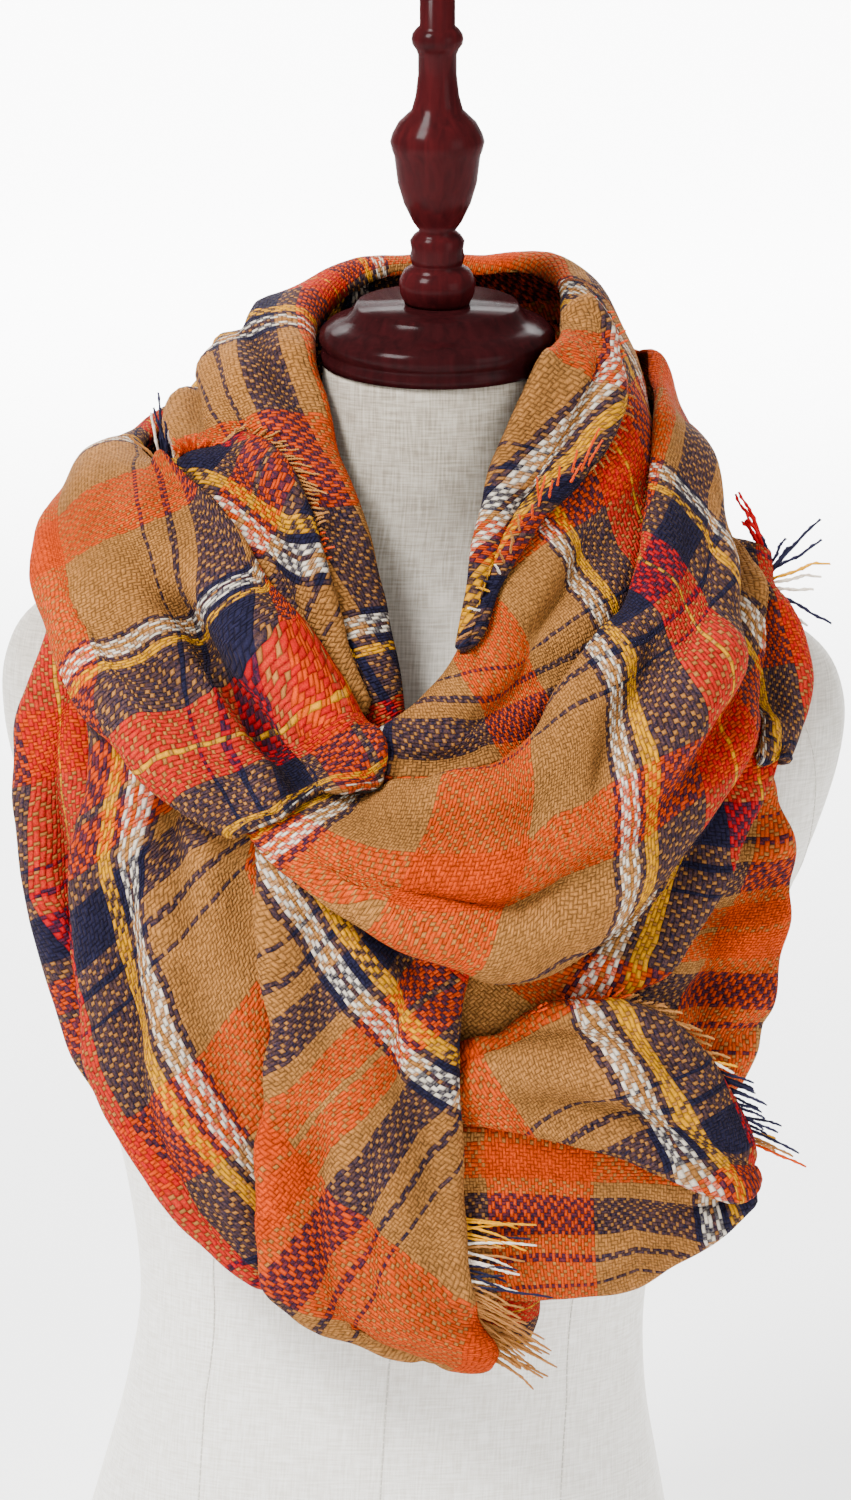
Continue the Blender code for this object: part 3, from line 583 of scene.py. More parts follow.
CREASES = {
    "left_fold": [
        Crease(0.20, 0.52, 0.44, 0.42, 12, -3.5),
        Crease(0.05, 0.40, 0.70, 0.60, 13, -3),
        Crease(0.10, 0.45, 0.22, 0.26, 12, -3),
        Crease(0.45, 0.86, 0.20, 0.20, 15, 7.5),
        Crease(0.40, 0.86, 0.74, 0.80, 17, 6),
        Crease(0.50, 1.00, 0.40, 0.50, 8, -8),
        Crease(0.55, 0.87, 0.57, 0.75, 12, -3),
        Crease(0.39, 0.66, 0.62, 0.68, 14, -2.5),
        Crease(0.60, 0.99, 0.26, 0.26, 7, -3),
        Crease(0.76, 0.96, 0.30, 0.15, 6, -2.5),
        Crease(0.30, 0.48, 0.43, 0.40, 10, 2),
    ],
    "front_band": [
        Crease(0.55, 0.98, 0.62, 0.70, 11, -4),
        Crease(0.72, 1.00, 0.20, 0.30, 10, -3.5),
        Crease(0.05, 0.50, 0.62, 0.72, 18, 3.5),
        Crease(0.50, 0.80, 0.45, 0.60, 16, 4),
        Crease(0.01, 0.42, 0.38, 0.25, 12, -3),
        Crease(0.46, 0.64, 0.38, 0.26, 9, -4),
        Crease(0.53, 0.72, 0.62, 0.38, 12, 2.5),
        Crease(0.22, 0.52, 0.55, 0.64, 9, -3.5),
        Crease(0.67, 0.91, 0.38, 0.96, 8, -3),
        Crease(0.49, 0.66, 0.00, 0.00, 9, -3),
        Crease(0.29, 0.47, 0.36, 0.47, 14, 2),
    ],
    "right_inner_band": [
        Crease(0.67, 0.96, 0.78, 0.35, 9, -3.5),
        Crease(0.56, 0.83, 0.72, 0.28, 8, -3),
        Crease(0.42, 0.61, 0.57, 0.38, 8, -3),
        Crease(0.24, 0.42, 0.65, 0.57, 9, -3),
    ],
    "right_drape": [
        Crease(0.10, 0.60, 0.35, 0.20, 10, -3.5),
        Crease(0.45, 0.95, 0.55, 0.40, 12, -3),
        Crease(0.47, 0.52, 0.11, 0.64, 11, -4),
        Crease(0.65, 0.68, 0.11, 0.81, 10, -3),
        Crease(0.30, 0.39, 0.11, 0.50, 9, -3),
        Crease(0.78, 0.85, 0.11, 0.44, 8, -3),
    ],
    "left_drape": [
        Crease(0.29, 0.49, 0.62, 0.47, 9, -5),
        Crease(0.52, 0.72, 0.49, 0.33, 10, -4),
        Crease(0.45, 0.64, 0.78, 0.67, 12, -3.5),
        Crease(0.34, 0.52, 0.36, 0.22, 9, -3),
        Crease(0.72, 0.86, 0.31, 0.20, 9, -3),
        Crease(0.57, 0.76, 0.73, 0.53, 10, 2),
    ],
    "left_back_drape": [
        Crease(0.38, 0.66, 0.63, 0.44, 9, -4),
        Crease(0.26, 0.44, 0.44, 0.22, 8, -3),
    ],
    "center_drop": [
        Crease(0.11, 0.35, 0.79, 0.65, 10, -4.5),
        Crease(0.08, 0.23, 0.56, 0.14, 9, -5),
        Crease(0.24, 0.51, 0.47, 0.19, 12, -3.5),
        Crease(0.41, 0.66, 0.74, 0.63, 11, -3),
        Crease(0.36, 0.69, 0.23, 0.14, 9, -3),
        Crease(0.56, 0.78, 0.37, 0.09, 9, -3),
    ],
    "corner_flap": [
        Crease(0.14, 0.42, 0.00, 0.33, 9, -4),
        Crease(0.23, 0.54, 0.67, 0.67, 10, -3.5),
        Crease(0.44, 0.65, 0.20, 0.33, 8, -3),
        Crease(0.34, 0.53, 0.43, 0.43, 8, 2),
    ],
    "corner_under": [
        Crease(0.16, 0.63, 0.31, 0.29, 10, -3),
        Crease(0.17, 0.63, 0.63, 0.49, 11, -4),
        Crease(0.36, 0.77, 0.97, 0.60, 10, -2.5),
    ],
    "tail_upper": [
        Crease(0.46, 0.74, 0.09, 0.41, 10, -4),
        Crease(0.51, 0.82, 0.00, 0.23, 9, -3),
        Crease(0.36, 0.64, 0.41, 0.64, 9, -3),
    ],
    "collar": [
        Crease(0.62, 0.88, 0.30, 0.55, 9, -4),
        Crease(0.70, 0.97, 0.70, 0.62, 8, -3.5),
        Crease(0.42, 0.61, 0.70, 0.60, 9, -5),
        Crease(0.37, 0.66, 0.15, 0.47, 8, -5),
        Crease(0.11, 0.29, 0.20, 0.17, 8, -3),
        Crease(0.54, 0.56, 0.47, 0.82, 7, -3),
        Crease(0.44, 0.59, 0.40, 0.30, 7, 3),
    ],
    "right_inner_fall": [
        Crease(0.23, 0.55, 0.14, 0.21, 8, -4),
        Crease(0.22, 0.46, 0.64, 0.57, 7, -3),
        Crease(0.58, 0.61, 0.71, 0.29, 7, -2),
    ],
    "right_outer_fold": [
        Crease(0.29, 0.98, 0.58, 1.00, 9, -4),
        Crease(0.36, 0.77, 0.37, 0.58, 8, -2.5),
    ],
    "left_inner_fall": [
        Crease(0.11, 0.51, 0.35, 0.26, 8, -3),
        Crease(0.07, 0.39, 0.57, 0.48, 7, -2),
    ],
    "back_wrap": [
        Crease(0.05, 0.55, 0.30, 0.42, 12, -5),
        Crease(0.30, 0.80, 0.62, 0.50, 14, -5),
        Crease(0.45, 0.95, 0.24, 0.36, 10, -4),
        Crease(0.10, 0.40, 0.75, 0.82, 10, -3.5),
        Crease(0.60, 0.90, 0.80, 0.70, 11, -3.5),
    ],
    "center_under": [
        Crease(0.10, 0.80, 0.40, 0.60, 10, -3),
    ],
}

# Where the plaid lies: at stations along a stretch, the place in the warp and weft stripes at its two edges.
Chart = namedtuple("Chart", "along warp_a warp_b weft_a weft_b")

CHARTS = {
    "left_back_drape": [
        Chart(0.00, 212, 228, 220, 165), Chart(0.20, 164, 182, 211, 148), Chart(0.40, 111, 133, 199, 132),
        Chart(0.60, 51, 78, 190, 138), Chart(0.80, 4, 22, 168, 123), Chart(1.00, -45, -34, 148, 114),
    ],
    "right_drape": [
        Chart(0.00, 145, 135, 58, 104), Chart(0.20, 114, 98, 41, 105), Chart(0.40, 70, 50, 26, 108),
        Chart(0.60, 11, -15, -3, 96), Chart(0.80, -34, -53, -16, 77), Chart(1.00, -69, -84, -9, 56),
    ],
    "left_drape": [
        Chart(0.00, 1, -45, 19, 128), Chart(0.20, 49, -8, 32, 149), Chart(0.40, 110, 15, 18, 150),
        Chart(0.60, 151, 71, 43, 166), Chart(0.80, 176, 145, 98, 170), Chart(1.00, 221, 215, 147, 165),
    ],
    "corner_under": [
        Chart(0.00, 3, 96, -29, -28), Chart(0.20, 0, 102, 3, 4), Chart(0.40, -2, 109, 35, 38),
        Chart(0.60, 5, 109, 70, 72), Chart(0.80, 24, 76, 107, 108), Chart(1.00, 44, 59, 138, 138),
    ],
    "tail_upper": [
        Chart(0.00, -4, 12, 153, 186), Chart(0.20, 22, 39, 139, 174), Chart(0.40, 62, 81, 112, 150),
        Chart(0.60, 101, 129, 89, 139), Chart(0.80, 123, 154, 68, 119), Chart(1.00, 166, 195, 45, 98),
    ],
    "corner_flap": [
        Chart(0.00, 145, 115, 29, 12), Chart(0.20, 136, 83, 66, 36), Chart(0.40, 132, 53, 117, 78),
        Chart(0.60, 122, 26, 139, 104), Chart(0.80, 89, 13, 152, 115), Chart(1.00, 48, 24, 163, 152),
    ],
    "center_drop": [
        Chart(0.00, -11, -98, 191, 111), Chart(0.20, 36, -58, 150, 87), Chart(0.40, 82, -7, 105, 50),
        Chart(0.60, 118, 29, 69, 5), Chart(0.80, 135, 64, 40, -24), Chart(1.00, 141, 111, -5, -32),
    ],
    "collar": [
        Chart(0.00, 70, 88, 160, 164), Chart(0.20, 38, 123, 246, 231), Chart(0.40, 26, 134, 331, 311),
        Chart(0.60, 18, 135, 436, 411), Chart(0.80, 14, 138, 564, 537), Chart(1.00, 26, 111, 664, 646),
    ],
    "right_inner_band": [
        Chart(0.00, 216, 141, 220, 262), Chart(0.20, 180, 107, 161, 199), Chart(0.40, 152, 72, 101, 176),
        Chart(0.60, 126, 46, 13, 117), Chart(0.80, 84, 13, -37, 13), Chart(1.00, 55, 8, -69, -41),
    ],
    "left_inner_fall": [
        Chart(0.00, 46, 74, 161, 113), Chart(0.20, 16, 49, 146, 92), Chart(0.40, -10, 22, 136, 83),
        Chart(0.60, -35, -9, 116, 72), Chart(0.80, -61, -44, 91, 62), Chart(1.00, -84, -73, 70, 51),
    ],
    "right_inner_fall": [
        Chart(0.00, 174, 175, 88, 105), Chart(0.20, 141, 141, 83, 117), Chart(0.40, 106, 95, 89, 137),
        Chart(0.60, 69, 42, 100, 137), Chart(0.80, -12, -13, 118, 133), Chart(1.00, -51, -52, 127, 135),
    ],
    "right_outer_fold": [
        Chart(0.00, 204, 206, 163, 104), Chart(0.33, 151, 154, 174, 98), Chart(0.67, 108, 111, 170, 104),
        Chart(1.00, 66, 71, 150, 108),
    ],
    "front_band": [
        Chart(0.00, 94, 147, -93, -88), Chart(0.20, 80, 191, -13, 13), Chart(0.40, 69, 229, 46, 103),
        Chart(0.60, 44, 191, 119, 161), Chart(0.80, 25, 138, 199, 232), Chart(1.00, 8, 117, 313, 336),
    ],
    "left_fold": [
        Chart(0.00, 72, 153, 713, 712), Chart(0.20, 61, 151, 800, 785), Chart(0.40, 33, 161, 911, 886),
        Chart(0.60, 6, 157, 988, 945), Chart(0.80, -10, 132, 1003, 997), Chart(1.00, 12, 98, 1051, 1042),
    ],
    "back_wrap": [Chart(0.00, 8, 117, 313, 336), Chart(1.00, 72, 153, 713, 712)],
    "center_under": [Chart(0.00, 110, 40, 60, 30), Chart(1.00, 120, 60, 230, 215)],
}

# Stretches that are one run of cloth are drawn as one piece.
RUNS = {
    "left_back_cloth": ["left_back_drape"],
    "right_drape_cloth": ["right_drape"],
    "left_drape_cloth": ["left_drape"],
    "center_under_cloth": ["center_under"],
    "corner_under_cloth": ["corner_under"],
    "tail_upper_cloth": ["tail_upper"],
    "corner_flap_cloth": ["corner_flap"],
    "center_drop_cloth": ["center_drop"],
    "inner_loop_cloth": ["collar", "right_inner_band"],
    "left_inner_cloth": ["left_inner_fall"],
    "right_inner_cloth": ["right_inner_fall"],
    "right_outer_cloth": ["right_outer_fold"],
    "outer_loop_cloth": ["front_band", "back_wrap", "left_fold"],
}


def spline_weights(count, fine):
    """Weights that read a Catmull-Rom curve through count points at fine + 1 even stations."""
    stations = np.linspace(0, count - 1, fine + 1)
    first = np.minimum(stations.astype(int), count - 2)
    u = stations - first
    basis = np.stack([2 * u ** 2 - u - u ** 3, 2 - 5 * u ** 2 + 3 * u ** 3,
                      u + 4 * u ** 2 - 3 * u ** 3, u ** 3 - u ** 2], axis=1) / 2
    weights = np.zeros((fine + 1, count + 2))
    for k in range(4):
        weights[np.arange(fine + 1), first + k] = basis[:, k]
    ends = np.eye(count + 2, count, k=-1)
    ends[0, :2], ends[-1, -2:] = (2, -1), (-1, 2)
    return weights @ ends


def fine_grid(coarse, along, across):
    down, over = spline_weights(coarse.shape[0], along), spline_weights(coarse.shape[1], across)
    return np.einsum("ai,bj,ijk->abk", down, over, coarse)


def form_grid(along, around):
    """The dress form's surface, with so many steps for each of its slices and round its outline."""
    return fine_grid(as_array(form_rows()), (len(FORM_SLICES) - 1) * along, FORM_ROUND * around)


def lengths(grid, axis):
    """The lengths of a grid's lines: those that run along it for axis 0, across it for axis 1."""
    return np.linalg.norm(np.diff(grid, axis=axis), axis=2).sum(axis=axis)


def quads(grid):
    """A grid's faces, each as the numbers of its four points."""
    index = np.arange(grid.shape[0] * grid.shape[1]).reshape(grid.shape[:2])
    faces = np.stack([index[:-1, :-1], index[:-1, 1:], index[1:, 1:], index[1:, :-1]], axis=-1)
    return faces.reshape(-1, 4).tolist()


def ways_out(grid):
    heart = np.zeros_like(grid)
    heart[:, :, 2] = HEART_HEIGHT + HEART_RISE * grid[:, :, 2]
    way = grid - heart
    return way / np.linalg.norm(way, axis=2, keepdims=True)


def normals_of(grid):
    """Unit normals of a grid of points, facing away from the form's heart."""
    normal = np.cross(np.gradient(grid, axis=1), np.gradient(grid, axis=0))
    normal /= np.maximum(np.linalg.norm(normal, axis=2, keepdims=True), LEAST)
    middle = grid.shape[1] // 2
    facing = (ways_out(grid) * normal)[:, middle].sum()
    return normal if facing > 0 else -normal


def creased(grid, creases, open_start, open_end):
    """The grid puffed up between its rounded edges and sunk or lifted along each crease, and by how much."""
    along, across = grid.shape[:2]
    length, width = lengths(grid, 0).mean(), lengths(grid, 1)
    down = np.linspace(0, length, along)[:, None]
    over = np.linspace(-0.5, 0.5, across)[None, :] * width[:, None]
    margin = np.minimum(over + width[:, None] / 2, width[:, None] / 2 - over)
    if open_start:
        margin = np.minimum(margin, down)
    if open_end:
        margin = np.minimum(margin, length - down)
    height = PUFF * np.sqrt(1 - (1 - np.clip(margin / PUFF_EDGE, 0, 1)) ** 2)
    for crease in creases:
        ends = []
        for share, place in ((crease.start, crease.place_start), (crease.end, crease.place_end)):
            ends.append((share * length, (place - 0.5) * width[round(share * (along - 1))]))
        (first, side), (last, far_side) = ends
        run, lean = last - first, far_side - side
        span = math.hypot(run, lean)
        share = ((down - first) * run + (over - side) * lean) / span ** 2
        off = ((down - first) * lean - (over - side) * run) / span / crease.width
        fade = np.clip(3 * np.minimum(share + RUN_ON, 1 + RUN_ON - share), 0, 1)
        shape = np.exp(-off * off) - SHOULDER_RISE * np.exp(-(off / SHOULDER_WIDE) ** 2)
        height += CREASE_DEPTH * crease.depth * shape * fade * fade * (3 - 2 * fade)
    return grid + normals_of(grid) * height[:, :, None], height - PUFF


def ruffled(grid, amount, scale, seed):
    """Soft unevenness, as brushed cloth has where nothing pulls it flat."""
    shift = Vector((seed, 0, 0))
    lift = np.array([[noise.noise(Vector(p) / scale + shift) for p in line] for line in grid])
    return grid + normals_of(grid) * (amount * lift)[:, :, None]


def spread(values, rounds):
    """The largest value near each point, softened, so that no point falls below its own."""
    for _ in range(rounds):
        wide = np.pad(values, 1, mode="edge")
        values = np.maximum.reduce([wide[1:-1, 1:-1], wide[:-2, 1:-1], wide[2:, 1:-1],
                                    wide[1:-1, :-2], wide[1:-1, 2:]])
    for _ in range(rounds):
        wide = np.pad(values, 1, mode="edge")
        values = (2 * wide[1:-1, 1:-1] + wide[:-2, 1:-1] + wide[2:, 1:-1] + wide[1:-1, :-2] + wide[1:-1, 2:]) / 6
    return values


def cleared(grid, beneath):
    """The grid lifted outward wherever it comes too near a wall beneath it."""
    for _ in range(OVER_ROUNDS):
        way = ways_out(grid)
        low, high = grid.min(axis=(0, 1)) - OVER_MARGIN, grid.max(axis=(0, 1)) + OVER_MARGIN
        near = [(tree, wall) for tree, wall, lowest, highest in beneath
                if (lowest < high).all() and (highest > low).all()]
        need = np.zeros(grid.shape[:2])
        for at in np.ndindex(need.shape):
            out = Vector(way[at])
            start = Vector(grid[at]) + out * OVER_REACH
            for tree, wall in near:
                hit = tree.ray_cast(start, -out, OVER_REACH + wall)
                if hit[0] is not None:
                    need[at] = max(need[at], OVER_REACH - hit[3] + wall)
        grid = grid + way * spread(need, OVER_SPREAD)[:, :, None]
    return grid


def wall_of(grid, thickness):
    """A wall to clear: its tree, the distance to keep from it, and its box."""
    points = grid.reshape(-1, 3)
    return BVHTree.FromPolygons(points.tolist(), quads(grid)), thickness, points.min(axis=0), points.max(axis=0)


def as_array(rows):
    return np.array([[tuple(p) for p in line] for line in rows])


def run_rows(names, laid):
    """The coarse points of the stretches of one run, with as many points across each, and where each begins."""
    across = max(len(laid[name][0]) for name in names)
    rows, starts = [], []
    for name in names:
        lines = [resampled(line, across) for line in laid[name]]
        starts.append(max(len(rows) - 1, 0))
        rows += lines[1:] if rows else lines
    starts.append(len(rows) - 1)
    return as_array(rows), starts


def chart_grid(chart, along, across):
    """The place in the warp stripes and in the weft stripes of each point of a grid."""
    stations = np.linspace(0, 1, along)
    at = [row.along for row in chart]
    share = np.linspace(0, 1, across)[None, :]
    found = []
    for one, other in (("warp_a", "warp_b"), ("weft_a", "weft_b")):
        first = np.interp(stations, at, [getattr(row, one) for row in chart])[:, None]
        second = np.interp(stations, at, [getattr(row, other) for row in chart])[:, None]
        found.append(first * (1 - share) + second * share)
    return np.stack(found, axis=2)


def fine_parts(laid):
    """Each stretch's fine grid, laid over those beneath it, the heights of its creases, and the walls to clear."""
    beneath = {"form": wall_of(form_grid(4, 4), SHEET / 2 + OVER_GAP),
               "cap": wall_of(as_array(cap_rows()), SHEET / 2 + OVER_GAP)}
    parts, folds, whole = {}, {}, {}
    for names in RUNS.values():
        rows, starts = run_rows(names, laid)
        per_row = max(2, round(lengths(rows, 0).mean() / (len(rows) - 1) / FINE))
        grid = fine_grid(rows, (len(rows) - 1) * per_row, round(lengths(rows, 1).mean() / FINE))
        for name, start, end in zip(names, starts, starts[1:]):
            whole[name] = grid[start * per_row:end * per_row + 1]
    for name, stretch in STRETCHES.items():
        names = next(names for names in RUNS.values() if name in names)
        part, folds[name] = creased(whole[name], CREASES[name], name == names[0], name == names[-1])
        part = ruffled(part, RUFFLE, RUFFLE_SIZE, len(parts))
        part = cleared(part, [wall for other, wall in beneath.items() if other != stretch.follows])
        if stretch.follows:
            fade = np.clip(1 - np.arange(len(part)) / JOIN_FADE, 0, 1)[:, None, None]
            part = part + (parts[stretch.follows][-1] - part[0])[None] * fade
        parts[name] = part
        beneath[name] = wall_of(part, SHEET + OVER_GAP)
    return parts, folds, list(beneath.values())


def fine_cloth(parts, folds):
    """For each run of cloth, its fine grid, and the stripes' places and the depth of the creases on it."""
    pieces = {}
    for run, names in RUNS.items():
        charts = []
        for name in names:
            places = chart_grid(CHARTS[name], *parts[name].shape[:2])
            charts.append(np.concatenate([places, folds[name][:, :, None]], axis=2))
        grid = np.concatenate([parts[names[0]]] + [parts[name][1:] for name in names[1:]])
        pieces[run] = (grid, np.concatenate(charts[:1] + [chart[1:] for chart in charts[1:]]))
    return pieces


def smoothed(mesh):
    mesh.polygons.foreach_set("use_smooth", [True] * len(mesh.polygons))


def grid_mesh(name, grid):
    """A sheet of quads over a grid of points in millimetres."""
    mesh = bpy.data.meshes.new(name)
    mesh.from_pydata((grid.reshape(-1, 3) * MM).tolist(), [], quads(grid))
    smoothed(mesh)
    return mesh


def linked(name, data):
    """A new object in the scene."""
    thing = bpy.data.objects.new(name, data)
    bpy.context.scene.collection.objects.link(thing)
    return thing


def shown(name, mesh, finish):
    """A new object in the scene, in one material."""
    mesh.materials.clear()
    mesh.materials.append(finish)
    return linked(name, mesh)


# ---- nodes and materials ----

MATH, VECTOR_MATH, MIX, NOISE = "ShaderNodeMath", "ShaderNodeVectorMath", "ShaderNodeMix", "ShaderNodeTexNoise"
SPLIT, JOIN, GREY = "ShaderNodeSeparateXYZ", "ShaderNodeCombineXYZ", "ShaderNodeCombineColor"
COLOUR, TINT = {"data_type": "RGBA"}, {"data_type": "RGBA", "blend_type": "MULTIPLY"}
FLOAT, VECTOR = {"data_type": "FLOAT"}, {"data_type": "FLOAT_VECTOR"}


def linear(hex_colour):
    """A linear colour from an sRGB hex one."""
    channels = [int(hex_colour[k:k + 2], 16) / 255 for k in (1, 3, 5)]
    return (*[c / 12.92 if c <= 0.04045 else ((c + 0.055) / 1.055) ** 2.4 for c in channels], 1.0)


def add_node(tree, kind, settings=None, *values, **inputs):
    """Adds a node with its settings (or just its operation) and its inputs, in their order, by name or by number.

    An input is a value, or one that is linked: another node, for its first output, or one of a node's outputs.
    """
    made = tree.nodes.new(kind)
    if isinstance(settings, str):
        settings = {"operation": settings}
    for key, value in (settings or {}).items():
        setattr(made, key, value)
    inputs = {**{f"i{k}": value for k, value in enumerate(values)}, **inputs}
    for key, value in inputs.items():
        socket = made.inputs[int(key[1:])] if key[1:].isdigit() else made.inputs[key.replace("_", " ")]
        value = value.outputs[0] if isinstance(value, bpy.types.Node) else value
        if isinstance(value, bpy.types.NodeSocket):
            tree.links.new(value, socket)
        else:
            socket.default_value = value
    return made


def new_material(name, **finish):
    """A material with the values that its finish has all over, its node tree and its shader's inputs."""
    made = bpy.data.materials.new(name)
    made.use_nodes = True
    shader = made.node_tree.nodes["Principled BSDF"].inputs
    for key, value in finish.items():
        shader[key.replace("_", " ")].default_value = value
    return made, made.node_tree, shader


CAMEL, ORANGE, NAVY, RED, YELLOW, WHITE = "#AC733A", "#D24200", "#201F36", "#BE0012", "#E09A00", "#EFE2CE"
# The yarns lie 1.65 mm apart, as the front view shows them.
THREAD = 1.65

# Stripes of the two directions, one repeat each: colour and width.
WARP_STRIPES = [
    (ORANGE, 16.5), (CAMEL, 2), (ORANGE, 16.5), (CAMEL, 8), (NAVY, 19.5), (CAMEL, 8.5), (NAVY, 2.6), (CAMEL, 9.2),
    (NAVY, 2.6), (CAMEL, 38.6), (ORANGE, 30), (CAMEL, 38.6), (NAVY, 2.6), (CAMEL, 9.2), (NAVY, 2.6), (CAMEL, 8.5),
    (NAVY, 19.5), (CAMEL, 8),
]
WEFT_STRIPES = [
    (ORANGE, 50), (CAMEL, 53), (NAVY, 4), (WHITE, 4), (CAMEL, 1.7), (WHITE, 4.3), (NAVY, 4), (YELLOW, 5), (NAVY, 23),
    (RED, 13.5), (YELLOW, 2), (RED, 13.5), (NAVY, 23), (YELLOW, 5), (NAVY, 4), (WHITE, 4), (CAMEL, 1.7), (WHITE, 4.3),
    (NAVY, 4), (CAMEL, 53),
]
# How strongly a stripe's yarn comes to the face: any warp but camel alike, and each weft by its colour.
WARP_STRENGTH, WEFT_STRENGTH = 0.7, {CAMEL: 0.0, WHITE: 0.25}

# Noises of the plaid, in repeats per metre: yarns that drift every 11 mm, patches of 17 mm, a nap of 1.4 mm and
# fibres of 0.7 mm. Real fibres are finer; they are drawn as coarse as they need to be to show.
DRIFT_SCALE, PATCH_SCALE, NAP_SCALE, FIBRE_SCALE = 90.0, 60.0, 700.0, 1400.0
DRIFT = 0.8
# The powers that round a yarn across it and dip it at the ends of its float.
YARN_ROUND, YARN_DIP = 2.5, 5.0
# Painted shade on each yarn, lighter on its crown and darker where it dips: what its height adds to the colour's light,
# what chance adds to each yarn as a tone of its own, and what is left where it dips.
PAINTED_HEIGHT_LIGHT, CHANCE_LIGHT, LEAST_LIGHT = 0.46, 0.24, 0.2
# Painted shade in the creases: the light that a millimetre of crease takes from the colour (or, on a ridge, adds), and
# its least and most.
PAINTED_CREASE_SHADE, PAINTED_CREASE_DARKEST, PAINTED_CREASE_LIGHTEST = 0.05, 0.36, 1.12


def stripes(tree, place, table, weigh=linear):
    """What weigh gives for the yarn's colour at a place in a repeat of stripes."""
    repeat = sum(width for _, width in table)
    share = add_node(tree, MATH, "FRACT", add_node(tree, MATH, "DIVIDE", place, repeat))
    ramp = add_node(tree, "ShaderNodeValToRGB", Fac=share)
    ramp.color_ramp.interpolation = "CONSTANT"
    start = 0.0
    for k, (colour, width) in enumerate(table):
        if k < 2:
            stop = ramp.color_ramp.elements[k]
            stop.position = start / repeat
        else:
            stop = ramp.color_ramp.elements.new(start / repeat)
        stop.color = weigh(colour)
        start += width
    return ramp


def strong_warp(colour):
    return (*[0.0 if colour == CAMEL else WARP_STRENGTH] * 3, 1.0)


def strong_weft(colour):
    return (*[WEFT_STRENGTH.get(colour, 1.0)] * 3, 1.0)


